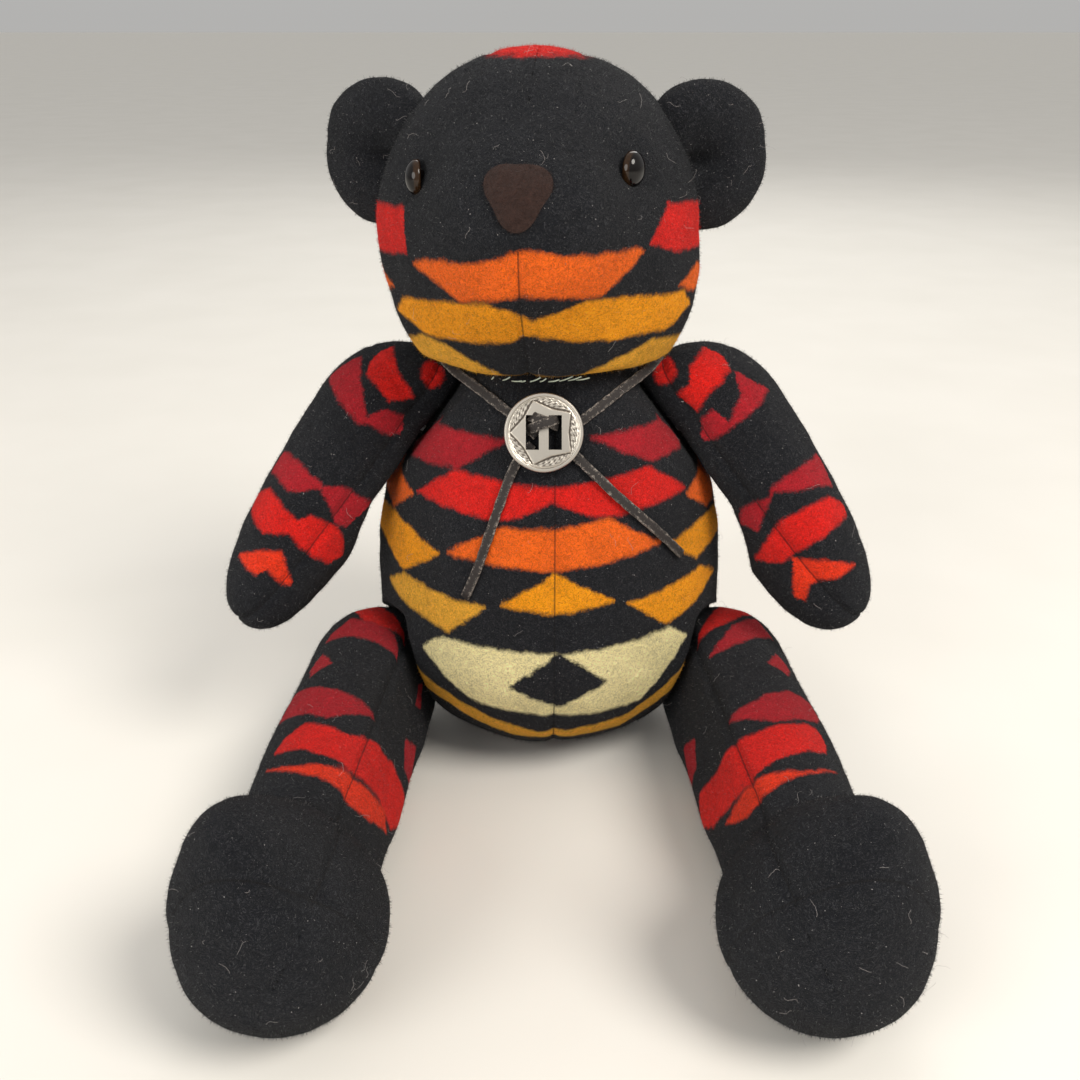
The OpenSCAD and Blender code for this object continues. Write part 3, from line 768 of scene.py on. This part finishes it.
def skin(name, body, rings, seams_of, weave, material, nodes, stuffing, frame_matrix, slot,
         pucker=None):
    """A stuffed cloth form: rings of points in its own frame, drawn in at its seams, with
    its stuffing as a separate smaller form inside. weave gives the angle and height by
    which the woven figures are laid out."""
    points = capped(rings)
    seams = seams_of(points)
    uneven = lumps(points, 26, 3) + 0.3 * lumps(points, 8, 5)
    depth = drawn_in(seams) + UNEVEN * (1.2 - uneven)
    if pucker is not None:
        depth = depth + pucker(points)
    u, v = weave(points)
    draft = ring_object(name, place(frame_matrix, rings), body, material,
                        {"weave": stack(u, v, nearest_seam(seams))})
    mesh = draft.data
    normals = read(mesh.vertex_normals, "vector")
    co = place(frame_matrix, points) - normals * depth[:, None]
    mesh.vertices.foreach_set("co", (co * MM).astype(np.float32).ravel())
    mesh.update()
    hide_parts(*nodes)
    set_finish(draft, slot)
    inner = (co - normals * WADDING_INSET)[:-2].reshape(rings.shape)[2:-2:4, ::4]
    filling = ring_object(name.replace("cloth", "wadding"), inner, body, STUFFING)
    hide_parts(stuffing)
    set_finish(filling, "stuffing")
    return draft


def limb_angle(p, axis_z):
    """The angle of points round a limb: 0 on its outside and 90 on its front or top."""
    return np.degrees(np.arctan2(-p[:, 1], p[:, 2] - axis_z))


def from_limb_seams(p, axis_z, angles):
    """The signed distance of points from seams that run along a limb at these angles."""
    degree = np.hypot(p[:, 1], p[:, 2] - axis_z) * math.pi / 180
    return [(limb_angle(p, axis_z) - angle) * degree for angle in angles]


# ---- Body, head, ears ----

def make_body():
    rings = bisected(body_field, np.array((0, 0, 70.0)), sphere_ways(300, 200), 150)

    def seams(p):
        middle = p[:, 0] - 1.4 * (p[:, 1] < 0)
        return [(middle, p[:, 2], 0.9),
                (only_where(np.abs(p[:, 0]) > 20, p[:, 1]), p[:, 2], 0.9)]

    return skin("body_cloth", ROOT, rings, seams, upright_weave, CLOTH["body"],
                ["body_front_left", "body_front_right", "body_back_left", "body_back_right"],
                "body_stuffing", np.eye(4), "patterned_blanket")


def make_head():
    rings = bisected(head_field, np.array((0, -8.0, 197)), sphere_ways(280, 190), 120)

    def seams(p):
        x, y, z = p.T
        return [(only_where(y > -6, np.abs(x) - 15), y + z, 0.5),
                (only_where((y < -20) & (z < 197), x - 1.2), z, 0.9)]

    return skin("head_cloth", "head", rings, seams, upright_weave, CLOTH["head"],
                ["head_left_side", "head_right_side", "head_gusset"],
                "head_stuffing", head_frame(), "patterned_blanket")


def make_ear(side):
    """A puffy lens with a dimple in its front and a crease from it to the head."""
    out = np.linspace(0.02, 1, 46)[:, None] * math.pi / 2
    turn = circle(150)[None, :]
    r = EAR_R * (1 - 0.02 * np.cos(2 * turn))
    x, y = r * np.sin(out) * np.cos(turn), r * np.sin(out) * np.sin(turn)
    swell = EAR_SWELL * np.cos(out) ** 0.9
    dimple = 5.2 * bump(np.hypot(x + 3, y + 1), 8.5)
    crease = 2.6 * bump(y + 1 - 0.1 * x, 2.4) / (1 + np.exp((x - 1) / 2.5)) * np.cos(out)
    front = stack(x, y, swell + 0.8 - dimple - crease)
    back = stack(x, y, -swell)[:-1][::-1]

    def seams(p):
        return [(p[:, 2] + 0.4, p[:, 0], 0.5)]

    return skin(side + "_ear_cloth", "head", np.concatenate([front, back]), seams,
                lambda p: (p[:, 0], p[:, 1]), CLOTH["ear"],
                [side + "_ear_front", side + "_ear_back"], side + "_ear_stuffing",
                ear_frame(side), "black_blanket")


# ---- Arms and legs ----

def make_arm(side):
    """A blunt lobe that bends in a little towards the body and is flat at the shoulder."""
    a = np.linspace(-88.5, 88.5, 170)[:, None] * math.pi / 180
    turn = circle(140)[None, :]
    power = 2 / ARM_POWER
    length = np.where(a < 0, ARM_BACK + ARM_TOP, ARM_REACH)
    x = np.sign(a) * length * np.abs(np.sin(a)) ** power
    radius = ARM_R * np.cos(a) ** power
    bent = (ARM_STAND - ARM_BEND[side] * (np.maximum(x, 0) / ARM_REACH) ** 2
            - ARM_TUCK * np.clip((8 - x) / 32, 0, 1) ** 2)
    floor = JOINT_GAP - 0.3 * np.maximum(x - 34, 0) - 0.02 * np.maximum(x - 46, 0) ** 2
    # The cloth is fuller on the side towards the body, further down the arm
    fuller = 1 + ARM_FULLER[side] * np.clip((x - 25) / 50, 0, 1) * (np.cos(turn) < 0)
    rings = np.stack([x + 0 * turn, -radius * np.sin(turn),
                      smax(bent + radius * fuller * np.cos(turn), floor, 2)], -1)

    def seams(p):
        return [(distance, p[:, 0], 0.9) for distance in from_limb_seams(p, ARM_STAND, ARM_SEAMS)]

    def pucker(p):
        """The cloth is gathered where the front seam ends at the shoulder."""
        away = seams(p)[0][0]
        return 0.9 * bump(np.hypot(p[:, 0] + 2, away), 7) + 0.4 * bump(p[:, 0] + 1 - away * 0.4, 1.6)

    return skin(side + "_arm_cloth", side + "_arm", rings, seams,
                lambda p: (np.abs(limb_angle(p, ARM_STAND)), p[:, 0]), CLOTH[side + "_arm"],
                [side + "_arm_outer", side + "_arm_inner"], side + "_arm_stuffing",
                arm_frame(side), "patterned_blanket", pucker)


def make_leg(side):
    """A thick thigh and an upright egg of a foot, joined softly at the ankle."""
    front = np.array(FOOT_AT) - (0, 3.4, 0)
    tip = bisected(leg_field, front, np.array([[1.0, 0, 0]]), 60)[0, 0] - 0.05
    a = np.linspace(-88.6, 88.6, 230)[:, None] * math.pi / 180
    x = (tip - LEG_BACK) / 2 + (tip + LEG_BACK) / 2 * np.sin(a)
    share = np.clip((x - 60) / (tip - 60), 0, 1)
    share = share * share * (3 - 2 * share)
    middle = np.concatenate([x, share * front[1], LEG_STAND + share * (front[2] - LEG_STAND)], 1)
    turn = circle(170)
    ways = stack(0 * turn, -np.sin(turn), np.cos(turn))[None] * np.ones((len(x), 1, 1))
    rings = bisected(leg_field, middle[:, None, :], ways, 60)

    def weave(p):
        angle = limb_angle(p, FOOT_AT[2])
        return np.where(angle < -90, angle + 360, np.abs(angle)), p[:, 0]

    def seams(p):
        lean = math.radians(SOLE_LEAN)
        sole = (p - FOOT_AT) @ (math.cos(lean), math.sin(lean), 0) - SOLE_FROM
        return [(sole, p[:, 2], 0.35)] + [
            (only_where(sole < 0, distance), p[:, 0], 0.9)
            for distance in from_limb_seams(p, FOOT_AT[2], LEG_SEAMS)]

    return skin(side + "_leg_cloth", side + "_leg", rings, seams, weave, CLOTH[side + "_leg"],
                [side + "_leg_outer", side + "_leg_inner", side + "_foot_sole"],
                side + "_leg_stuffing", leg_frame(side), "patterned_blanket")


# ---- Nap: short wool fibres all over, and a few long loose ones ----

def nap(cloth, count, seed):
    """Thin closed spikes standing out of a cloth piece, one in seven of them pale."""
    mesh = cloth.data
    mesh.calc_loop_triangles()
    corners = read(mesh.loop_triangles, "vertices", np.int32)
    weave = read(mesh.attributes["weave"].data, "vector")
    sides = read(mesh.vertices, "co")[corners] / MM
    cross = np.cross(sides[:, 1] - sides[:, 0], sides[:, 2] - sides[:, 0])
    area = np.linalg.norm(cross, axis=1)
    rng = np.random.default_rng(seed)
    pick = rng.choice(len(area), count, p=area / area.sum())
    share = rng.dirichlet((1, 1, 1), count)[:, :, None]
    root = (sides[pick] * share).sum(1)
    at = (weave[corners][pick] * share).sum(1)
    out = cross[pick] / np.maximum(area[pick], 1e-9)[:, None]
    at[:, 2] = SEAM_FAR - 1
    at[::7, 2] = PALE_FROM + 4
    way = unit(out * 0.8 + rng.normal(0, 0.7, (count, 3)) + (0, 0, -0.1))
    side_way = unit(np.cross(way, rng.normal(size=(count, 3))))
    third = np.cross(way, side_way)
    thick = rng.uniform(0.05, 0.09, (count, 1))
    base = root - 0.3 * out
    tip = root + way * rng.uniform(0.5, 1.3, (count, 1))
    points = np.stack([base + thick * side_way, base - 0.5 * thick * side_way + 0.87 * thick * third,
                       base - 0.5 * thick * side_way - 0.87 * thick * third, tip], 1)
    clear = points[:, :, 2].min(1) > 0.1
    points, at, count = points[clear], at[clear], int(clear.sum())
    index = np.arange(count)[:, None] * 4
    faces = np.concatenate([index + f for f in ((0, 2, 1), (0, 1, 3), (1, 2, 3), (2, 0, 3))])
    made = new_object(cloth.name.replace("cloth", "nap"), points.reshape(-1, 3), faces.tolist(),
                      cloth["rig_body"], mesh.materials[0], {"weave": np.repeat(at, 4, 0)})
    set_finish(made, cloth["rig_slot"])
    return made


def tubes(name, body, lines, radius, material, sides):
    """Thin closed round tubes along lines of points, all in one piece."""
    points, faces = [], []
    for line in lines:
        line = np.asarray(line, float)
        n, start = len(line), len(points)
        along = unit(np.gradient(line, axis=0))
        first = unit(np.cross(along, (0.31, 0.52, 0.79)))
        second = np.cross(along, first)
        turn = circle(sides)[None, :, None]
        rings = line[:, None] + radius * (np.cos(turn) * first[:, None] + np.sin(turn) * second[:, None])
        points.extend(capped(rings))
        faces.extend([tuple(start + i for i in f) for f in ring_faces(n, sides)])
    return new_object(name, points, faces, body, material)


def loose_fibres(cloth, count, seed):
    """Long pale fibres that curl just off the cloth."""
    mesh = cloth.data
    rng = np.random.default_rng(seed)
    lines = []
    for i in rng.integers(0, len(mesh.vertices), count):
        at = np.array(mesh.vertices[i].co) / MM
        out = np.array(mesh.vertices[i].normal)
        way = unit(np.cross(out, rng.normal(size=3)))
        bend = np.cross(out, way) * rng.normal(0, 0.12)
        line = [at + out * 0.2]
        for k in range(7):
            way = unit(way + bend - out * 0.05 + rng.normal(0, 0.35, 3))
            rise = out * 0.35 * math.sin((k + 1) / 7 * math.pi)
            line.append(line[-1] + way * rng.uniform(0.35, 0.9) + rise * 0.8)
        lines.append(line)
    made = tubes(cloth.name.replace("cloth", "loose_fibres"), cloth["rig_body"], lines, 0.035, FIBRE, 3)
    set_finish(made, cloth["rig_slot"])


# ---- Nose and eyes ----

def make_nose():
    """A felt patch on the snout: a rounded triangle that points down."""
    out = np.sin(np.linspace(0.03, 1, 30) * math.pi / 2)[:, None]
    turn = circle(90)[None, :]
    r = (NOSE_R + 1.3 * np.cos(3 * (turn + math.pi / 2))) * out
    x, y = r * np.cos(turn) + 0.7, r * np.sin(turn) * 1.05 + 0.6
    to_head = np.linalg.inv(head_frame()) @ nose_frame()
    base, up = stack(x, y, 0), stack(0 * x, 0, 1)

    def field(p):
        return head_field(place(to_head, p))

    ground = bisected(field, base, up, 60)
    thick = 0.75 * (1 - out ** 5) + 0.12 * lumps(ground, 5, 2)
    top = ground + up * thick[..., None]
    under = ground - up * 0.8
    rings = np.concatenate([top, under[::-1]])
    made = ring_object("nose_cloth", place(nose_frame(), rings), "head", FELT,
                       {"weave": 0 * capped(rings)})
    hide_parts("nose_patch")
    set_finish(made, "nose_felt")
    return made


def lathe(profile, across=64):
    """Rings of a form turned about Z, from its profile as (radius, height)."""
    r, z = np.array(profile, float).T[:, :, None]
    return polar(r, circle(across), z)


def make_eye(side):
    """A glossy dome with a pale ring round its foot, on a shank that goes into the head."""
    shank = [(0.3, -10), (2.0, -9.8), (2.2, -9.4), (2.2, -0.6), (4.6, -0.5), (EYE_R - 0.15, -0.2)]
    dome = [(EYE_R * math.cos(t) ** 0.9, 0.7 + 3.6 * math.sin(t))
            for t in np.radians(np.linspace(0, 88, 24))]
    rings = lathe(shank + [(EYE_R, 0.2)] + dome)
    rim = np.hypot(*capped(rings).T[:2]) / EYE_R
    made = ring_object(side + "_eye_dome", place(eye_frame(side), rings), "head", EYE,
                       {"rim": stack(rim, 0, 0)})
    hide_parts(side + "_eye")
    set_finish(made, "eye_plastic")


# ---- Silver disc ----

def make_concho():
    """A struck disc: a double rim, a stippled ring, a smooth five-pointed panel and slots."""
    out = np.concatenate([np.linspace(0.2, 12.2, 110), np.linspace(12.3, CONCHO_R, 12)])[:, None]
    turn = circle(300)[None, :]
    tip = math.tau / 10
    off = tip - np.abs((turn - math.pi) % (2 * tip) - tip)
    star_r = (CONCHO_R * STAR_OUT * STAR_IN * math.sin(tip)
              / (STAR_OUT * np.sin(off) + STAR_IN * np.sin(tip - off)))
    inside = star_r - out
    panel = 1 / (1 + np.exp(-(inside - 0.25) / 0.07))
    groove = bump(inside + 0.1, 0.22)
    rim = 1 / (1 + np.exp(-(out - RIM_R) / 0.07))
    inner_rim = bump(out - RIM_R + 0.5, 0.2)
    ground = (1 - panel) * (1 - rim)
    edge = np.clip((CONCHO_R - out) / 0.35, 0, 1) ** 0.5
    dome = 0.25 * (1 - (out / CONCHO_R) ** 2)
    # Curls struck into the ring between the panel and the rim
    curl = np.sin(turn * 34 + out * 3.4) * np.sin(out * 3.4) * ground * bump(out - CURLS_R, 1.4)
    stipple = 0.05 * lumps(polar(out, turn, 0), 0.8, 8)
    height = (1.25 + dome + 0.28 * panel - 0.16 * groove + 0.42 * rim * edge + 0.25 * inner_rim
              + (0.06 * curl + stipple) * ground)
    back_out = np.linspace(CONCHO_R, 0.3, 12)[:, None]
    back = polar(back_out, turn, 0.25 * (1 - (back_out / CONCHO_R) ** 2))
    rings = np.concatenate([polar(out, turn, height), back])
    shine = np.clip(panel + rim + inner_rim * 0.9 + 0.35 + curl * 0.35 - groove * 0.9, 0, 1)
    relief = np.concatenate([shine.ravel(), np.full(back[..., 0].size + 2, 0.4)])
    made = ring_object("silver_disc", place(concho_frame(), rings), ROOT, SILVER,
                       {"relief": stack(relief, 0, 0)})
    for side in SIDES.values():
        bpy.ops.mesh.primitive_cube_add(size=1)
        cutter = bpy.context.object
        cutter.matrix_world = (Matrix(concho_frame().tolist())
                               @ Matrix.Translation((side * (BRIDGE_W + SLOT_W) / 2, 0, 0))
                               @ Matrix.Diagonal((SLOT_W, SLOT_H, 8, 1)))
        cutter.data.transform(Matrix.Scale(MM, 4) @ cutter.matrix_world)
        cutter.matrix_world = Matrix.Identity(4)
        cut = made.modifiers.new("slot", "BOOLEAN")
        cut.operation, cut.solver, cut.object = "DIFFERENCE", "EXACT", cutter
        with bpy.context.temp_override(object=made, active_object=made):
            bpy.ops.object.modifier_apply(modifier=cut.name)
        bpy.data.objects.remove(cutter)
    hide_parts("concho")
    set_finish(made, "silver")


# ---- Lace ----

# The lace's route behind the disc and round the neck to the back, on the left side, as
# (place, the way its flat side faces), and the two free tails: the CAD part's own points.
LACE_HALF = [
    ((4.5, -51.7, 133.5), (0.1, -1, 0.4)), ((9.5, -49.4, 137.5), (0.2, -1, 0.4)),
    ((16, -45.8, 141.5), (0.35, -1, 0.5)), ((23, -40.5, 145.5), (0.5, -0.9, 0.5)),
    ((29.5, -33.9, 148.3), (0.6, -0.7, 0.6)), ((35, -23, 149.6), (0.5, -0.3, 0.8)),
    ((38.5, -9, 149.8), (0.4, 0, 0.9)), ((38.5, 5, 149.9), (0.3, 0.1, 0.9)),
    ((36, 18, 151.6), (0.1, 0.1, 1)), ((24, 29.5, 152.9), (0, 0, 1)),
    ((12, 35, 152.9), (0, 0, 1)), ((0, 37, 152.9), (0, 0, 1)),
]
LEFT_TAIL = [(0.005, -0.0526, 0.131), (0.0084, -0.0536, 0.127), (0.0135, -0.0543, 0.122),
             (0.020, -0.0543, 0.1155), (0.0265, -0.0533, 0.109), (0.033, -0.0512, 0.1025),
             (0.0393, -0.0483, 0.0955), (0.045, -0.0446, 0.0885)]
RIGHT_TAIL = [(-0.006, -0.0525, 0.131), (-0.0105, -0.0536, 0.126), (-0.0135, -0.0549, 0.120),
              (-0.0165, -0.0563, 0.112), (-0.0193, -0.0575, 0.104), (-0.022, -0.0581, 0.096),
              (-0.0248, -0.0584, 0.088), (-0.0287, -0.0578, 0.0785)]


def smooth_line(points, steps):
    """A smooth curve through points, with steps stretches between neighbours."""
    p = np.asarray(points, float)
    p = np.vstack([2 * p[0] - p[1], p, 2 * p[-1] - p[-2]])
    line = []
    for a, b, c, d in zip(p, p[1:], p[2:], p[3:]):
        for t in np.arange(steps) / steps:
            line.append(0.5 * (2 * b + (c - a) * t + (2 * a - 5 * b + 4 * c - d) * t * t
                               + (3 * b - a - 3 * c + d) * t ** 3))
    line.append(p[-2])
    return np.array(line)


def ribbon(name, centre, facing, seed):
    """A flat leather lace along a line, with rounded and slightly rough edges."""
    along = unit(np.gradient(centre, axis=0))
    across = unit(np.cross(along, facing))
    out = np.cross(across, along)
    turn = circle(20)
    flat = np.sign(np.cos(turn)) * np.abs(np.cos(turn)) ** 0.35
    thick = np.sign(np.sin(turn)) * np.abs(np.sin(turn)) ** 0.6
    half_w = LACE_W / 2 * (1 + 0.05 * lumps(centre, 2.2, seed) + 0.03 * lumps(centre, 0.9, seed + 1))
    rings = (centre[:, None] + across[:, None] * flat[None, :, None] * half_w[:, None, None]
             + out[:, None] * (thick[None, :, None] * LACE_T / 2))
    rings = rings + 0.05 * lumps(rings, 1.1, seed + 2)[..., None]
    edge = np.concatenate([np.tile(np.abs(flat), len(centre)), [0.2, 0.2]])
    made = ring_object(name, rings, ROOT, LEATHER, {"edge": stack(edge, 0, 0)})
    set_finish(made, "leather_lace")
    return made


def make_lace():
    """The loop round the neck, its two strands over the disc's bridge, and the two tails."""
    half = np.array(LACE_HALF, float)
    whole = np.vstack([half, (half * (-1, 1, 1))[:-1][::-1]])
    loop = ribbon("lace_loop", smooth_line(whole[:, 0], 8), smooth_line(whole[:, 1], 8), 21)
    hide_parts("lace_neck_loop")
    cross = [(-4.3, -1.5, -0.6), (-3.3, -1.2, 1.5), (-1.6, -0.5, 2.5), (1.6, 0.5, 2.5), (3.3, 1.2, 1.5),
             (4.3, 1.5, -0.6)]
    for name, flip, lift in (("lace_strand_over", 1, 0.9), ("lace_strand_under", -1, 0.0)):
        route = np.array([(x, y * flip + 3.2 - 0.5 * flip, z + lift * (z > 1)) for x, y, z in cross])
        line = place(concho_frame(), smooth_line(route, 6))
        outward = concho_frame()[:3, 2] + 0 * line
        radial = line - place(concho_frame(), np.array((0, 3.2, -1.5)))
        ribbon(name, line, radial + 0.2 * outward, 40 + flip)
    for side, route, length in (("left", LEFT_TAIL, 0.060), ("right", RIGHT_TAIL, 0.058)):
        line = smooth_line(route, 5)
        middle = line / MM
        facing = stack(middle[:, 0], middle[:, 1], 10)
        tail = ribbon("lace_tail_strip_" + side, middle, facing, 60 + SIDES[side])
        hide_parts("lace_tail_" + side)


def make_neck_stitches():
    """Pale thread in small slanting stitches where the neck is sewn shut under the chin."""
    lines = []
    rng = np.random.default_rng(9)
    for i in range(10):
        angle = math.radians(-16 + 4.6 * i + rng.normal(0, 0.8))
        slant, rise = rng.uniform(0.02, 0.1), rng.uniform(0.4, 1.6)
        ends = [(38, angle, NECK_Z - 0.4), (40.2, angle + slant, NECK_Z + rise)]
        foot, head = [place(head_frame(), np.array((r * math.sin(a), -r * math.cos(a), z)))
                      for r, a, z in ends]
        lines.append(smooth_line([foot, (foot + head) / 2 + (0, -0.6, 0), head], 4))
    stitches = tubes("neck_stitches", "head", lines, 0.22, THREAD, 6)
    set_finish(stitches, "patterned_blanket")


make_lace()
make_concho()
SKINS = {"body": make_body(), "head": make_head()}
for _side in SIDES:
    SKINS[_side + "_ear"] = make_ear(_side)
    SKINS[_side + "_arm"] = make_arm(_side)
    SKINS[_side + "_leg"] = make_leg(_side)
    make_eye(_side)
SKINS["nose"] = make_nose()
make_neck_stitches()

NAP_COUNT = {"body": 48000, "head": 40000, "left_ear": 8000, "right_ear": 8000, "left_arm": 18000,
             "right_arm": 18000, "left_leg": 34000, "right_leg": 34000, "nose": 2600}
for _seed, (_key, _count) in enumerate(NAP_COUNT.items()):
    nap(SKINS[_key], _count, 100 + _seed)
    if _key != "nose":
        loose_fibres(SKINS[_key], _count // 500, 200 + _seed)


# ---- The inner pieces keep their CAD shapes, with their own materials ----

INNER = (("washer", STEEL), ("cotter_pin", STEEL), ("disc", HARDBOARD))
for _name, _node in frame["nodes"].items():
    for _word, _material in INNER:
        if _word in _name and not _node.hide_render:
            _node.data.materials.clear()
            _node.data.materials.append(_material)
            break


# ---- Floor and light ----

FLOOR_HALF = 20000


def make_stage():
    net = Net("floor", Roughness=0.8, Specular_IOR_Level=0.2)
    tone = net.noise(90, 2)
    floor_paint = net.finish(net.mix(tone, (222, 219, 212), (230, 227, 221)), tone, 0.02, 1)
    n = 40
    across = np.linspace(-1, 1, n)
    points = [(FLOOR_HALF * x, FLOOR_HALF * y, 0) for y in across for x in across]
    faces = [(j * n + i, j * n + i + 1, (j + 1) * n + i + 1, (j + 1) * n + i)
             for j in range(n - 1) for i in range(n - 1)]
    mesh = bpy.data.meshes.new("floor")
    mesh.from_pydata((np.array(points) * MM).tolist(), [], faces)
    mesh.materials.append(floor_paint)
    add("floor", mesh)


LIT_AT = (0, 0, 0.12)


def area_light(name, at, size, watts, colour):
    """A round lamp turned towards the bear, with its place and size in metres."""
    data = bpy.data.lights.new(name, "AREA")
    data.shape, data.size, data.energy, data.color = "DISK", size, watts, colour
    lamp = add(name, data)
    lamp.location = at
    lamp.rotation_euler = (Vector(LIT_AT) - Vector(at)).to_track_quat("-Z", "Y").to_euler()


def make_light():
    area_light("key", (0.75, -0.75, 1.15), 0.7, 18, (1.0, 0.95, 0.88))
    area_light("fill", (-0.9, -1.1, 0.6), 1.0, 12, (1.0, 0.97, 0.92))
    area_light("rim", (0.2, 1.2, 1.1), 0.9, 6, (1.0, 0.98, 0.94))
    world = bpy.data.worlds.new("studio")
    world.use_nodes = True
    tree = world.node_tree
    split = tree.nodes.new("ShaderNodeSeparateXYZ")
    tree.links.new(tree.nodes.new("ShaderNodeTexCoord").outputs["Generated"], split.inputs[0])
    ramp = tree.nodes.new("ShaderNodeMapRange")
    for item, socket in zip((0.0, 0.35, 0.45, 0.6), list(ramp.inputs)[1:5]):
        socket.default_value = item
    tree.links.new(split.outputs["Z"], ramp.inputs[0])
    tree.nodes["Background"].inputs["Color"].default_value = (1.0, 0.99, 0.97, 1)
    tree.links.new(ramp.outputs[0], tree.nodes["Background"].inputs["Strength"])
    bpy.context.scene.world = world
    bpy.context.scene.view_settings.view_transform = "Standard"


make_stage()
make_light()
